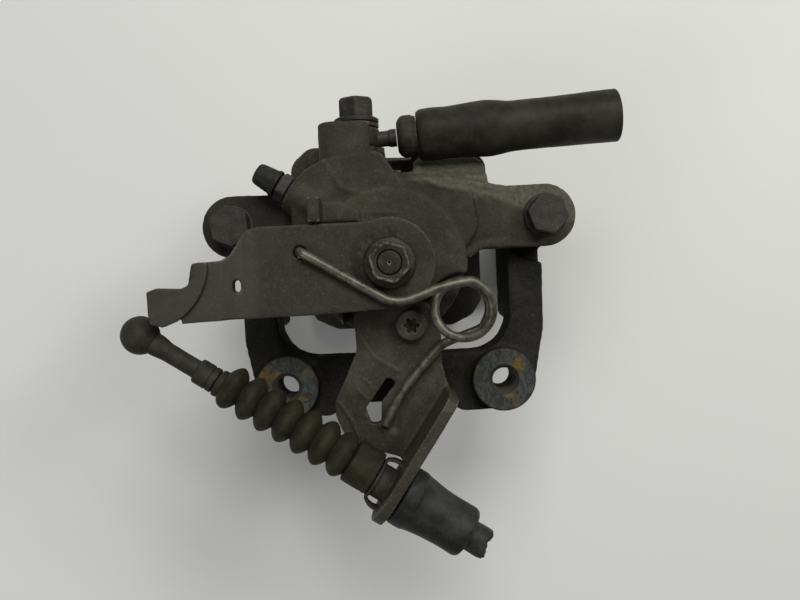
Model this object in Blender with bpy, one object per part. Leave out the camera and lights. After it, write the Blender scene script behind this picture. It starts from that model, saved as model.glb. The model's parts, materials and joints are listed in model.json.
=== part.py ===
"""Floating rear brake caliper with a hand-brake lever, its cable end and its hose.

The piston axis is vertical and the caliper lies on its outboard fingers.  Lengths below are in
millimetres, measured from the piston axis, and MM turns them into metres.
"""
import math

import bmesh
import bpy
from mathutils import Matrix, Vector

MM = 0.001

# Where the piston axis stands, so that the origin is under the middle of the whole caliper
AXIS_X = 3.17
AXIS_Y = 20.66

GAP = 0.3                       # between pieces that touch

# Heights, from the surface that the fingers rest on
FINGER_TOP = 15.0
BORE_MOUTH = 57.0
BORE_END = 102.0
ARM_LOW = 85.0
ARM_TOP = 96.0
SEAT_TOP = 100.7                # the step that the cable bracket is screwed to
PLATEAU_TOP = 108.0
END_FACE = 115.0
LEVER_LOW = 117.0
LEVER_TOP = 122.0
LEVER_STEP = 4.0                # the lever's free end is bent up by this
CLAW_LOW = 124.0
CLAW_TOP = 127.8

BORE_R = 19.0
CYLINDER_R = 27.0
PISTON_R = 18.9
SHAFT_R = 7.0
SHAFT_STEPS = 36                # flats round the lever shaft and the rings that it turns in
SHAFT_CLEARANCE = 0.12

PIN_X = 57.5                    # guide pins, on both sides of the piston axis
PIN_Y = 15.8
PIN_R = 5.0
EAR_TOP = 76.0
MOUNT_X = 41.3                  # threaded carrier holes, 82.6 apart
MOUNT_Y = -45.4
MOUNT_TOP = 89.0
MOUNT_LOW = 67.0

INLET_X = -10.8                 # brake hose connection, whose bolt lies along Y
INLET_Z = 90.0
INLET_FACE = 42.0
HOSE_START = Vector((4.2, 47.3, INLET_Z))
HOSE_AXIS = Vector((1.0, 0.061, 0.0)).normalized()
HOSE_LENGTH = 75.0

BLEED_START = Vector((-35.3, 27.4, 102.0))
BLEED_AXIS = Vector((-0.847, 0.531, 0.0)).normalized()

CABLE_BALL = Vector((-86.9, -21.5, 117.0))
CABLE_AXIS = Vector((0.8325, -0.554, 0.0)).normalized()
CABLE_SIDE = Vector((-0.554, -0.8325, 0.0)).normalized()

PLATE_LOW = 101.0               # cable bracket
PLATE_TOP = 105.0
SCREW = Vector((6.6, -22.3, 0.0))

COIL = Vector((24.6, -16.9, 0.0))
COIL_R = 9.8
WIRE_R = 1.65

COLOURS = {
    "cast": ((0.085, 0.078, 0.068), 0.62, 0.55),
    "carrier_cast": ((0.06, 0.056, 0.05), 0.66, 0.5),
    "steel": ((0.2, 0.19, 0.175), 0.45, 0.8),
    "bright": ((0.42, 0.41, 0.39), 0.3, 1.0),
    "plate": ((0.13, 0.12, 0.105), 0.5, 0.7),
    "rubber": ((0.03, 0.029, 0.026), 0.75, 0.0),
    "bronze": ((0.4, 0.26, 0.12), 0.4, 0.9),
}


def clear_scene():
    for obj in list(bpy.data.objects):
        bpy.data.objects.remove(obj, do_unlink=True)


def material(name, kind):
    colour, rough, metal = COLOURS[kind]
    mat = bpy.data.materials.new(name)
    mat.use_nodes = True
    shader = mat.node_tree.nodes["Principled BSDF"]
    shader.inputs["Base Color"].default_value = (*colour, 1.0)
    shader.inputs["Roughness"].default_value = rough
    shader.inputs["Metallic"].default_value = metal
    return mat


# ---- shapes, in millimetres ----

def prism(outline, low, high):
    """An outline in X and Y raised from low to high."""
    bm = bmesh.new()
    floor = [bm.verts.new((x, y, low)) for x, y in outline]
    roof = [bm.verts.new((x, y, high)) for x, y in outline]
    bm.faces.new(floor)
    bm.faces.new(roof)
    for i in range(len(outline)):
        j = (i + 1) % len(outline)
        bm.faces.new((floor[i], floor[j], roof[j], roof[i]))
    return bm


def box(low, high):
    (x0, y0, z0), (x1, y1, z1) = low, high
    return prism([(x0, y0), (x1, y0), (x1, y1), (x0, y1)], z0, z1)


def filleted(corners, steps=4):
    """An outline whose corners (x, y, radius) are rounded."""
    outline = []
    count = len(corners)
    for i, (x, y, radius) in enumerate(corners):
        here = Vector((x, y))
        if radius <= 0:
            outline.append((x, y))
            continue
        before = (Vector(corners[i - 1][:2]) - here).normalized()
        after = (Vector(corners[(i + 1) % count][:2]) - here).normalized()
        half = before.angle(after) / 2
        reach = radius / math.tan(half)
        centre = here + (before + after).normalized() * (radius / math.sin(half))
        start = here + before * reach - centre
        sweep = math.pi - 2 * half
        side = 1 if before.cross(after) < 0 else -1
        for k in range(steps + 1):
            turned = Matrix.Rotation(side * sweep * k / steps, 2) @ start
            outline.append((centre.x + turned.x, centre.y + turned.y))
    return outline


def arc(centre, radius, start, end, steps):
    """Points on a circle, from one angle to another, in degrees."""
    angles = [math.radians(start + (end - start) * k / steps) for k in range(steps + 1)]
    return [(centre[0] + radius * math.cos(a), centre[1] + radius * math.sin(a)) for a in angles]


def turned(profile, segments=20, ring=False, phase=0.0):
    """A profile of (radius, height) turned about Z.  A ring joins its last point to its first."""
    bm = bmesh.new()
    rows = []
    for radius, height in profile:
        if radius == 0:
            rows.append([bm.verts.new((0, 0, height))])
            continue
        angles = [phase + 2 * math.pi * k / segments for k in range(segments)]
        rows.append([bm.verts.new((radius * math.cos(a), radius * math.sin(a), height))
                     for a in angles])
    pairs = list(zip(rows, rows[1:]))
    if ring:
        pairs.append((rows[-1], rows[0]))
    for lower, upper in pairs:
        for k in range(segments):
            n = (k + 1) % segments
            if len(lower) == 1:
                bm.faces.new((lower[0], upper[n], upper[k]))
            elif len(upper) == 1:
                bm.faces.new((lower[k], lower[n], upper[0]))
            else:
                bm.faces.new((lower[k], lower[n], upper[n], upper[k]))
    if not ring:
        for row in (rows[0], rows[-1]):
            if len(row) > 1:
                bm.faces.new(row)
    return bm


def rod(radius, low, high, segments=20):
    return turned([(radius, low), (radius, high)], segments)


def hexagon(across_flats, low, high, chamfer=0.0, phase=0.0):
    """A hexagonal prism whose top corners are chamfered."""
    corner = across_flats / math.sqrt(3)
    if chamfer == 0:
        return turned([(corner, low), (corner, high)], 6, phase=phase)
    profile = [(corner, low), (corner, high - chamfer), (corner - 1.6 * chamfer, high)]
    return turned(profile, 6, phase=phase)


def sweep(points, radius, sides=8):
    """A round wire along a smooth list of points, closed at both ends."""
    bm = bmesh.new()
    rings = []
    normal = None
    for i, point in enumerate(points):
        ahead = points[min(i + 1, len(points) - 1)]
        behind = points[max(i - 1, 0)]
        forward = (ahead - behind).normalized()
        if normal is None:
            normal = forward.orthogonal().normalized()
        normal = (normal - forward * normal.dot(forward)).normalized()
        across = forward.cross(normal)
        ring = []
        for k in range(sides):
            a = 2 * math.pi * k / sides
            ring.append(bm.verts.new(point + normal * radius * math.cos(a) + across * radius * math.sin(a)))
        rings.append(ring)
    for near, far in zip(rings, rings[1:]):
        for k in range(sides):
            n = (k + 1) % sides
            bm.faces.new((near[k], near[n], far[n], far[k]))
    bm.faces.new(rings[0])
    bm.faces.new(rings[-1])
    return bm


def moved(bm, offset=(0, 0, 0), axis=None):
    """Turns a shape's Z axis onto an axis, then moves it."""
    if axis is not None:
        bm.transform(Vector(axis).to_track_quat("Z", "Y").to_matrix().to_4x4())
    bm.transform(Matrix.Translation(Vector(offset)))
    return bm


def solid(name, bm, kind, pivot=(0, 0, 0)):
    """An object from a shape, with its origin at pivot."""
    bmesh.ops.recalc_face_normals(bm, faces=bm.faces)
    shift = Matrix.Translation(-Vector(pivot))
    bm.transform(Matrix.Scale(MM, 4) @ shift)
    mesh = bpy.data.meshes.new(name)
    bm.to_mesh(mesh)
    bm.free()
    obj = bpy.data.objects.new(name, mesh)
    mesh.materials.append(material(name, kind))
    place = Vector(pivot) + Vector((AXIS_X, AXIS_Y, 0))
    obj.location = place * MM
    bpy.context.scene.collection.objects.link(obj)
    return obj


def combine(obj, shapes, operation):
    """Adds shapes to an object, or takes them away from it."""
    for bm in shapes:
        tool = solid("tool", bm, "steel")
        bpy.context.view_layer.update()
        modifier = obj.modifiers.new("combine", "BOOLEAN")
        modifier.operation = operation
        modifier.solver = "EXACT"
        modifier.object = tool
        depsgraph = bpy.context.evaluated_depsgraph_get()
        result = bpy.data.meshes.new_from_object(obj.evaluated_get(depsgraph))
        obj.modifiers.clear()
        obj.data = result
        bpy.data.objects.remove(tool, do_unlink=True)
    return obj


def add(obj, *shapes):
    return combine(obj, shapes, "UNION")


def cut(obj, *shapes):
    return combine(obj, shapes, "DIFFERENCE")


def on_hose(bm, start=0.0):
    return moved(bm, HOSE_START + HOSE_AXIS * start, HOSE_AXIS)


def on_cable(bm):
    return moved(bm, CABLE_BALL, CABLE_AXIS)


def on_bleed(bm):
    return moved(bm, BLEED_START, BLEED_AXIS)


def on_inlet(bm):
    """Heights of the shape become distances along Y from the piston axis."""
    return moved(bm, (INLET_X, 0, INLET_Z), (0, 1, 0))


# ---- castings ----

def bridge_outline():
    left = [(-38.4, 31.0, 3), (-38.4, 41.0, 7), (-31.0, 47.4, 6)]
    right = [(33.0, 45.6, 8), (38.8, 39.0, 6), (38.8, 31.0, 3)]
    return filleted(left + right + [(12.0, 34.0, 0), (-12.0, 34.0, 0)])


def finger_outline():
    half = 41.0
    right = [(half, 31.0, 3), (half, -17.5, 3), (36.5, -24.0, 4), (27.0, -28.6, 3)]
    gap = [(13.5, -28.6, 3), (13.5, 4.0, 9), (-13.5, 4.0, 9), (-13.5, -28.6, 3)]
    left = [(-27.0, -28.6, 3), (-36.5, -24.0, 4), (-half, -17.5, 3), (-half, 31.0, 3)]
    return filleted(right + gap + left + [(-37.0, 40.0, 4), (37.0, 40.0, 4)])


def arm_outline(side):
    boss = arc((PIN_X, PIN_Y), 11.6, -76, 92, 12)
    points = [(20.0, 6.0), (29.5, 1.2), (34.0, 4.2)] + boss + [(44.0, 27.2), (34.0, 29.0), (20.0, 33.0)]
    return [(side * x, y) for x, y in points]


def caliper_housing():
    body = solid("caliper_housing", turned(
        [(CYLINDER_R - 2, BORE_MOUTH), (CYLINDER_R, BORE_MOUTH + 2), (CYLINDER_R, END_FACE - 1),
         (CYLINDER_R - 1, END_FACE)], 40), "cast")
    root = [(-34.5, 8, 4), (-34.5, 26, 8), (-31, 38, 4), (-31, 46, 4), (35, 44, 6), (37, 30, 6), (30, 4, 4)]
    plateau = [(-34.6, 10.5, 3), (-34.4, 20.0, 8), (-30.5, 33.5, 6), (-22.0, 38.0, 3), (-2.0, 40.0, 4),
               (6.0, 27.0, 4), (10.0, 0.0, 0), (-22.0, 2.0, 3)]
    shoulder = [(0, 22, 0), (0, 34, 3), (11, 34.5, 6), (30, 29, 6), (33, 12, 8), (24, 0, 3)]
    inlet = filleted([(-11.1, 77, 5), (11.3, 77, 5), (11.3, 101.6, 8), (-11.1, 101.6, 6)], 4)
    inlet = prism(inlet, -52.3, -15.0)
    inlet.transform(Matrix.Rotation(math.radians(90), 4, "X"))
    inlet.transform(Matrix.Translation((-13.8, 0, 0)))
    stop_pad = [(-23.5, 14.8, 0), (-23.5, 22.3, 0), (-16.2, 21.9, 4), (-10.3, 18.6, 2), (-9.8, 14.8, 0)]
    lobe = [(10.4, 15.0, 0), (9.7, 38.0, 3), (13.0, 41.6, 3), (31.5, 41.2, 5), (36.4, 38.4, 4),
            (37.4, 28.0, 3), (31.0, 12.0, 4)]
    slope = prism([(31.2, 95.0), (43.0, 78.4), (46.0, 78.4), (46.0, 104.0), (31.2, 104.0)], 5.0, 42.0)
    slope.transform(Matrix(((0, 0, 1, 0), (1, 0, 0, 0), (0, 1, 0, 0), (0, 0, 0, 1))))
    add(body,
        prism(bridge_outline(), 0.9, 74.0),
        prism(finger_outline(), 0.0, FINGER_TOP),
        prism(filleted(root), 59.0, 78.0),
        prism(filleted(plateau), 70.0, PLATEAU_TOP),
        prism(filleted(lobe), 72.4, 94.4),
        prism(filleted(shoulder), 71.5, 99.0),
        prism(arm_outline(1), ARM_LOW, ARM_TOP),
        prism(arm_outline(-1), ARM_LOW, ARM_TOP),
        inlet,
        box((-27.2, 14.5, 100.0), (-22.7, 23.2, 124.0)),
        prism(filleted(stop_pad), 103.0, 116.5),
        on_bleed(turned([(8.2, -14.0), (7.0, -GAP)], 20)))
    seat = [(-17, -30), (-17, -13.2), (14, -13.2), (18.5, -8), (30, -8), (30, -30)]
    cut(body,
        slope,
        prism(seat, SEAT_TOP, END_FACE + 1),
        moved(rod(COIL_R + WIRE_R + 1.2, SEAT_TOP - 0.6, END_FACE + 2, 28), COIL),
        box((-1.0, 40.8, 46.0), (9.6, 50.0, 80.0)),
        box((-20.4, INLET_FACE, 75.2), (0.0, 54.0, 99.2)),
        turned([(21.8, 50.0), (21.8, 59.8), (BORE_R, 59.8), (BORE_R, BORE_END), (9.2, BORE_END),
                (9.2, 110.9), (10.2, 110.9), (10.2, END_FACE + 2)], 36),
        turned([(18, 66.0), (21.5, 66.0), (21.5, 69.5), (18, 69.5)], 36),
        turned([(18, 93.6), (20.2, 93.6), (20.2, 94.9), (18, 94.9)], 36),
        on_inlet(rod(5.2, 28.0, INLET_FACE + 2, 16)),
        on_inlet(rod(2.5, 10.0, 30.0, 10)),
        on_bleed(rod(4.2, -12.0, 2.0, 14)),
        on_bleed(rod(1.6, -30.0, -10.0, 8)),
        moved(rod(4.2, ARM_LOW - 2, ARM_TOP + 2, 16), (PIN_X, PIN_Y, 0)),
        moved(rod(4.2, ARM_LOW - 2, ARM_TOP + 2, 16), (-PIN_X, PIN_Y, 0)),
        moved(rod(2.9, 88.0, SEAT_TOP + 2, 12), SCREW))
    return body


def carrier_bracket():
    outer = [(57.6, -28.0, 12), (54.0, -46.0, 8), (49.0, -57.0, 6)]
    right = [(58.8, 28.0, 4)] + outer
    left = [(-x, y, r) for x, y, r in reversed(right)]
    inner = [(-44.6, 28.0, 3), (-44.6, -34.9, 14), (44.6, -34.9, 14), (44.6, 28.0, 3)]
    arch = [(26.0, -57.8, 4), (15.0, -53.2, 6), (-15.0, -53.2, 6), (-26.0, -57.8, 4)]
    plan = filleted(right + arch + left + inner, 5)
    body = solid("carrier_bracket", prism(plan, MOUNT_LOW, 84.0), "carrier_cast")
    for side in (1, -1):
        leg = filleted([(44.6, -24, 3), (58.0, -24, 5), (58.8, 28, 4), (44.6, 28, 3)])
        hoop = filleted([(47.0, 19.5, 2), (58.6, 19.5, 2), (58.6, 27.8, 3), (47.0, 27.8, 3)])
        outboard = filleted([(49.5, -16, 4), (58.6, -16, 4), (58.6, 27.8, 3), (49.5, 27.8, 3)])
        shapes = [
            prism(leg, 47.0, 70.0),
            prism(hoop, 5.0, 50.0),
            prism(outboard, 5.0, 21.0),
            moved(turned([(10.0, 44.0), (11.3, 46.0), (11.3, EAR_TOP)], 24), (PIN_X, PIN_Y, 0)),
            moved(turned([(11.2, MOUNT_LOW - 0.6), (12.0, MOUNT_LOW + 0.4), (12.0, MOUNT_TOP - 0.5),
                          (11.6, MOUNT_TOP)], 28), (MOUNT_X, MOUNT_Y, 0))]
        if side < 0:
            for bm in shapes:
                bm.transform(Matrix.Scale(-1, 4, Vector((1, 0, 0))))
        add(body, *shapes)
    for side in (1, -1):
        pin = (side * PIN_X, PIN_Y, 0)
        mount = (side * MOUNT_X, MOUNT_Y, 0)
        cut(body,
            moved(rod(17.0, EAR_TOP, 95.0, 32), pin),
            moved(rod(PIN_R + 0.1, 40.0, 90.0, 20), pin),
            moved(turned([(5.2, 60.0), (5.2, MOUNT_TOP - 1.2), (6.3, MOUNT_TOP), (6.3, MOUNT_TOP + 2)], 20),
                  mount))
    return body


# ---- guide pins ----

def guide_pin(name, side):
    pin = solid(name, turned([(PIN_R - 1, 45.0), (PIN_R, 46.0), (PIN_R, ARM_LOW - GAP), (4.1, ARM_LOW - GAP),
                              (4.1, 68.0), (0, 67.0)], 20), "bright")
    pin.location += Vector((side * PIN_X, PIN_Y, 0)) * MM
    return pin


def guide_boot(name, side):
    low, high = EAR_TOP + GAP, ARM_LOW - GAP
    folds = 3
    outer = []
    for k in range(folds * 2 + 1):
        height = low + 1.2 + (high - low - 2.4) * k / (folds * 2)
        outer.append((8.6 if k % 2 else 7.0, height))
    profile = [(5.4, low), (8.0, low)] + outer + [(8.0, high), (5.4, high)]
    boot = solid(name, turned(profile, 16, ring=True), "rubber")
    boot.location += Vector((side * PIN_X, PIN_Y, 0)) * MM
    return boot


def guide_bolt(name, side):
    bolt = solid(name, turned([(3.7, 70.0), (3.8, ARM_TOP + GAP), (7.9, ARM_TOP + GAP), (7.9, 97.4),
                               (6.6, 98.0)], 20), "steel")
    add(bolt, hexagon(13.0, 97.0, 104.2, 0.7, math.radians(12)))
    bolt.location += Vector((side * PIN_X, PIN_Y, 0)) * MM
    return bolt


# ---- inside the cylinder ----

def piston():
    body = solid("piston", turned(
        [(17.6, 52.0), (PISTON_R, 52.8), (PISTON_R, 53.4), (17.1, 53.4), (17.1, 56.0), (PISTON_R, 56.0),
         (PISTON_R, 87.4), (18.2, 88.0), (13.5, 88.0), (13.5, 60.0), (0, 60.0)], 28), "steel")
    cut(body, box((-2.5, -13, 50.0), (2.5, 13, 53.0)), box((-13, -2.5, 50.0), (13, 2.5, 53.0)))
    return body


def ring_piece(name, inner, outer, low, high, kind, segments=20):
    profile = [(inner, low), (outer, low), (outer, high), (inner, high)]
    return solid(name, turned(profile, segments, ring=True), kind)


def piston_dust_boot():
    profile = [(19.6, 59.4), (21.4, 59.4), (21.4, 57.0), (20.6, 55.2), (19.5, 53.8), (17.4, 53.8),
               (17.4, 54.8), (19.3, 55.0), (19.7, 56.8)]
    return solid("piston_dust_boot", turned(profile, 28, ring=True), "rubber")


def lever_shaft():
    profile = [(4.0, 96.0), (11.0, 96.0), (11.0, 100.0), (SHAFT_R, 100.0), (SHAFT_R, 116.6), (4.9, 116.6),
               (4.9, LEVER_TOP + 0.2), (3.9, LEVER_TOP + 0.2), (3.9, 129.6), (3.2, 130.4)]
    return solid("lever_shaft", turned(profile, SHAFT_STEPS), "steel")


def ramp_ball(name, index):
    radius = 1.8
    angle = 2 * math.pi * index / 3
    steps = 4
    profile = [(radius * math.sin(math.pi * k / steps), -radius * math.cos(math.pi * k / steps))
               for k in range(steps + 1)]
    profile[0] = (0, -radius)
    profile[-1] = (0, radius)
    ball = moved(turned(profile, 8), (8.0 * math.cos(angle), 8.0 * math.sin(angle), 93.9))
    return solid(name, ball, "bright")


def adjuster_spindle():
    profile = [(3.2, 62.0), (4.0, 62.8), (4.0, 88.6), (11.0, 88.6), (11.0, 91.8)]
    return solid("adjuster_spindle", turned(profile, 18), "steel")


def adjuster_nut():
    profile = [(4.2, 62.4), (8.5, 62.4), (8.5, 66.0), (6.5, 67.0), (6.5, 72.0), (4.2, 72.0)]
    return solid("adjuster_nut", turned(profile, 16, ring=True), "steel")


def adjuster_spring():
    turns, per_turn, low, high = 4, 10, 75.3, 87.4
    count = int(turns * per_turn)
    points = []
    for k in range(count + 1):
        a = 2 * math.pi * k / per_turn
        points.append(Vector((9.4 * math.cos(a), 9.4 * math.sin(a), low + (high - low) * k / count)))
    return solid("adjuster_spring", sweep(points, 0.8, 6), "bright")


def spring_cup():
    profile = [(5.2, 73.0), (12.4, 73.0), (12.4, 92.4), (18.4, 92.4), (18.4, 93.3), (11.6, 93.3),
               (11.6, 74.0), (5.2, 74.0)]
    return solid("spring_cup", turned(profile, 20, ring=True), "steel")


def circlip():
    opening = 40
    outline = arc((0, 0), 19.9, opening / 2, 360 - opening / 2, 18)
    outline += arc((0, 0), 16.4, 360 - opening / 2, opening / 2, 18)
    return solid("circlip", prism(outline, 93.7, 94.7), "steel")


# ---- hand-brake lever and its spring ----

def parking_lever():
    hub = arc((0, 0), 15.6, -91, 112, 14)
    top_edge = [(-9.0, 14.2), (-44.5, 13.8), (-47.4, 13.2), (-49.4, 11.6), (-51.9, 7.4), (-53.7, 4.4),
                (-56.5, 2.8), (-62.0, 2.4), (-66.0, 2.4)]
    bottom_edge = [(-70.2, -17.8), (-62.0, -17.4), (-51.0, -17.2), (-20.0, -16.6)]
    plan = hub + top_edge + bottom_edge
    rise = [(20, LEVER_LOW), (20, LEVER_TOP), (-50.5, LEVER_TOP), (-57.6, LEVER_TOP + LEVER_STEP),
            (-72, LEVER_TOP + LEVER_STEP), (-72, LEVER_LOW + LEVER_STEP), (-56.9, LEVER_LOW + LEVER_STEP),
            (-49.9, LEVER_LOW)]
    side_view = prism(rise, -20.0, 30.0)
    side_view.transform(Matrix.Rotation(math.radians(90), 4, "X"))
    lever = solid("parking_lever", side_view, "plate")
    combine(lever, [prism(plan, 110.0, 135.0)], "INTERSECT")
    ridge = arc((-82.5, 2.5), 22.2, 0, -61, 9)
    claw = ridge + [(-76.2, -18.6), (-80.0, -17.4), (-80.8, -14.0), (-80.9, -6.6), (-77.6, -5.5),
                    (-69.6, -5.9)] + arc((-70.4, -1.0), 5.0, -60, -2, 5) + [(-65.0, 1.6), (-63.6, 2.5)]
    add(lever, prism(claw, CLAW_LOW, CLAW_TOP))
    cut(lever,
        rod(5.15, 110.0, 135.0, 20),
        moved(rod(2.15, 110.0, 135.0, 12), (-30.3, 4.9, 0)),
        prism(filleted([(-53.0, -8.0, 1), (-50.6, -8.0, 1), (-50.6, -3.8, 1), (-53.0, -3.8, 1)], 3), 110.0, 135.0))
    return lever


def lever_nut():
    nut = solid("lever_nut", turned([(4.1, 122.3), (9.0, 122.3), (9.0, 123.6), (7.2, 124.6), (7.2, 129.0),
                                     (4.1, 129.0)], 20, ring=True), "steel")
    head = hexagon(13.0, 123.4, 130.0, 0.6, math.radians(15))
    add(nut, head)
    cut(nut, rod(4.1, 120.0, 133.0, 20))
    return nut


def return_spring():
    high, low = 123.95, 106.95
    points = [Vector(p) for p in (
        (-30.3, 4.9, 115.6), (-30.3, 4.9, 119.0), (-30.3, 4.9, 121.6), (-29.9, 4.7, 123.0),
        (-28.6, 3.9, high), (-24.0, 1.2, high), (-14.0, -4.9, high), (-5.0, -10.3, high),
        (-1.6, -12.2, high), (1.6, -13.0, high), (5.0, -12.9, high), (10.0, -11.4, high),
        (16.5, -9.1, high))]
    turns, per_turn = 1.5, 18
    count = int(turns * per_turn)
    for k in range(1, count):
        a = math.radians(100) - 2 * math.pi * turns * 0.985 * k / count
        fall = k / count
        points.append(Vector((COIL.x + COIL_R * math.cos(a), COIL.y + COIL_R * math.sin(a),
                              high - (high - low) * fall)))
    points += [Vector(p) for p in (
        (18.6, -29.0, low), (14.6, -32.2, low), (9.4, -37.8, low), (2.6, -46.1, low), (-1.6, -53.0, low),
        (-3.4, -56.6, low), (-4.0, -58.0, low - 0.2))]
    return solid("return_spring", sweep(points, WIRE_R, 6), "bright")


# ---- cable bracket ----

def cable_bracket():
    left = [(-13.0, -13.6, 3), (-13.9, -19.0, 0), (-13.4, -31.0, 6), (-19.0, -43.2, 6), (-21.9, -49.0, 4),
            (-21.9, -54.0, 4), (-19.1, -61.2, 3), (-14.0, -65.6, 3), (-5.5, -68.0, 3)]
    along = CABLE_BALL + CABLE_AXIS * 102.5
    foot = along + CABLE_SIDE * -9.0
    corner = along + CABLE_SIDE * -38.5
    right = [(foot.x, foot.y, 0), (corner.x, corner.y, 0), (18.4, -42.0, 4), (17.2, -37.0, 4),
             (17.2, -26.0, 8), (13.0, -13.6, 4)]
    plate = solid("cable_bracket", prism(filleted(left + right, 3), PLATE_LOW, PLATE_TOP), "plate")
    flange = [(-38.8, PLATE_LOW), (-8.0, PLATE_LOW), (-7.5, 106.0)]
    flange += arc((0, CABLE_BALL.z), 13.0, -122, 90, 14)
    flange += [(-34.0, CABLE_BALL.z + 13.0), (-37.5, CABLE_BALL.z + 11.5), (-38.8, CABLE_BALL.z + 8.0)]
    upright = prism(flange, 0.0, 3.9)
    place = Matrix((
        (CABLE_SIDE.x, 0, CABLE_AXIS.x, along.x - CABLE_AXIS.x * 1.95),
        (CABLE_SIDE.y, 0, CABLE_AXIS.y, along.y - CABLE_AXIS.y * 1.95),
        (0, 1, 0, 0),
        (0, 0, 0, 1)))
    upright.transform(place)
    add(plate, upright)
    window = filleted([(-2.8, -40.8, 1.2), (0.6, -42.6, 1.2), (-5.2, -49.8, 1.5), (-5.6, -57.2, 1),
                       (-9.2, -57.4, 1), (-11.0, -52.0, 1)], 3)
    cut(plate, prism(window, 95.0, 110.0), on_cable(rod(8.3, 95.0, 110.0, 20)),
        moved(rod(3.0, 95.0, 110.0, 12), SCREW))
    return plate


def bracket_screw():
    screw = solid("bracket_screw", turned(
        [(2.4, 90.0), (2.6, 91.0), (2.6, PLATE_TOP + GAP), (5.6, PLATE_TOP + GAP), (5.6, 108.4), (5.0, 109.2)],
        20), "steel")
    star = []
    for k in range(24):
        reach = 2.35 + 0.45 * math.cos(math.radians(90 * k))
        star.append((reach * math.cos(math.radians(15 * k)), reach * math.sin(math.radians(15 * k))))
    cut(screw, prism(star, 106.6, 112.0))
    screw.location += SCREW * MM
    return screw


# ---- brake hose ----

def banjo_bolt():
    bolt = on_inlet(turned([(4.2, 30.0), (4.8, 31.0), (4.8, 53.0), (8.4, 53.0), (8.4, 54.8), (6.6, 55.6)], 20))
    obj = solid("banjo_bolt", bolt, "steel")
    add(obj, on_inlet(hexagon(12.2, 54.6, 62.4, 0.7, math.radians(30))))
    return obj


def banjo_washer(name, start):
    return solid(name, on_inlet(turned([(5.1, start), (8.3, start), (8.3, start + 1.4), (5.1, start + 1.4)],
                                       18, ring=True)), "bronze")


def hose_fitting():
    eye = turned([(5.1, 43.9), (7.7, 43.9), (8.4, 44.7), (8.4, 50.1), (7.7, 50.9), (5.1, 50.9)], 20, ring=True)
    fitting = solid("hose_fitting", on_inlet(eye), "steel")
    add(fitting, on_hose(turned([(2.9, -7.6), (2.9, -GAP)], 12)))
    return fitting


def hose_ferrule():
    profile = [(3.2, 0), (5.6, 0), (7.4, 1.4), (7.9, 2.6), (7.9, 6.2), (7.2, 7.2), (3.2, 7.2)]
    return solid("hose_ferrule", on_hose(turned(profile, 20, ring=True)), "steel")


def brake_hose():
    profile = [(1.8, 7.6), (6.9, 7.6), (6.9, HOSE_LENGTH + 6.8), (1.8, HOSE_LENGTH + 6.8)]
    return solid("brake_hose", on_hose(turned(profile, 16, ring=True)), "rubber")


def hose_sleeve():
    outer = [(8.6, 7.6), (9.7, 8.6), (9.9, 12), (9.5, 20), (10.3, 29), (10.6, 34), (10.1, 38), (9.2, 42),
             (9.4, 55), (9.7, 70), (9.8, HOSE_LENGTH + 7.6)]
    profile = [(7.2, 7.6)] + outer + [(7.2, HOSE_LENGTH + 7.6)]
    return solid("hose_sleeve", on_hose(turned(profile, 20, ring=True)), "rubber")


# ---- bleed screw ----

def bleed_screw():
    screw = solid("bleed_screw", on_bleed(turned(
        [(3.2, -11.0), (3.8, -9.5), (3.8, 0.9), (2.7, 0.9), (2.7, 13.0), (2.0, 14.0)], 14)), "steel",
        BLEED_START)
    add(screw, on_bleed(hexagon(9.6, 0.2, 4.6, 0.0, math.radians(8))))
    return screw


def bleed_cap():
    profile = [(3.0, 4.9), (4.9, 4.9), (4.9, 6.6), (4.4, 7.4), (4.0, 15.6), (3.4, 16.6), (0, 16.6)]
    profile = [(0, 14.3), (3.0, 14.3)] + profile
    return solid("bleed_cap", on_bleed(turned(profile, 14)), "rubber", BLEED_START)


# ---- hand-brake cable ----

def cable_end():
    radius = 6.7
    profile = [(0, -radius)]
    steps = 7
    for k in range(1, steps):
        a = math.pi * (1 - k / (steps + 0.6))
        profile.append((radius * math.sin(a), radius * math.cos(a)))
    profile += [(2.9, 6.9), (3.4, 8.2), (3.3, 40.0), (0, 41.0)]
    return solid("cable_end", on_cable(turned(profile, 16)), "steel")


def cable_collar():
    profile = [(3.6, 23.0), (4.1, 23.0), (4.5, 23.6), (4.5, 28.0), (4.2, 28.2), (4.5, 28.5), (4.5, 30.4),
               (3.6, 30.4)]
    return solid("cable_collar", on_cable(turned(profile, 14, ring=True)), "steel")


def cable_inner_wire():
    return solid("cable_inner_wire", on_cable(rod(1.2, 41.4, 116.0, 8)), "steel")


def cable_boot():
    folds, first, pitch = 7, 36.6, 7.35
    outer = [(4.4, 30.8), (4.9, 31.6), (4.9, 33.2)]
    for k in range(folds):
        middle = first + pitch * k
        crown = 7.4 + 0.16 * k
        outer += [(crown * 0.72, middle - 2.5), (crown, middle - 1.0), (crown, middle + 1.0),
                  (crown * 0.72, middle + 2.5)]
    outer += [(6.0, 84.2), (7.8, 84.6), (7.8, 94.0)]
    profile = [(3.8, 30.8)] + outer + [(3.8, 94.0)]
    return solid("cable_boot", on_cable(turned(profile, 14, ring=True)), "rubber")


def cable_clip():
    profile = [(3.4, 94.4), (7.4, 94.4), (8.9, 98.6), (8.9, 100.1), (8.0, 100.2), (8.0, 104.8), (3.4, 104.8)]
    clip = solid("cable_clip", on_cable(turned(profile, 20, ring=True)), "steel")
    slots = []
    for k in range(4):
        slot = box((4.6, -1.5, 95.6), (12.0, 1.5, 99.6))
        slot.transform(Matrix.Rotation(math.radians(90 * k + 45), 4, "Z"))
        slots.append(on_cable(slot))
    cut(clip, *slots)
    return clip


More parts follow.
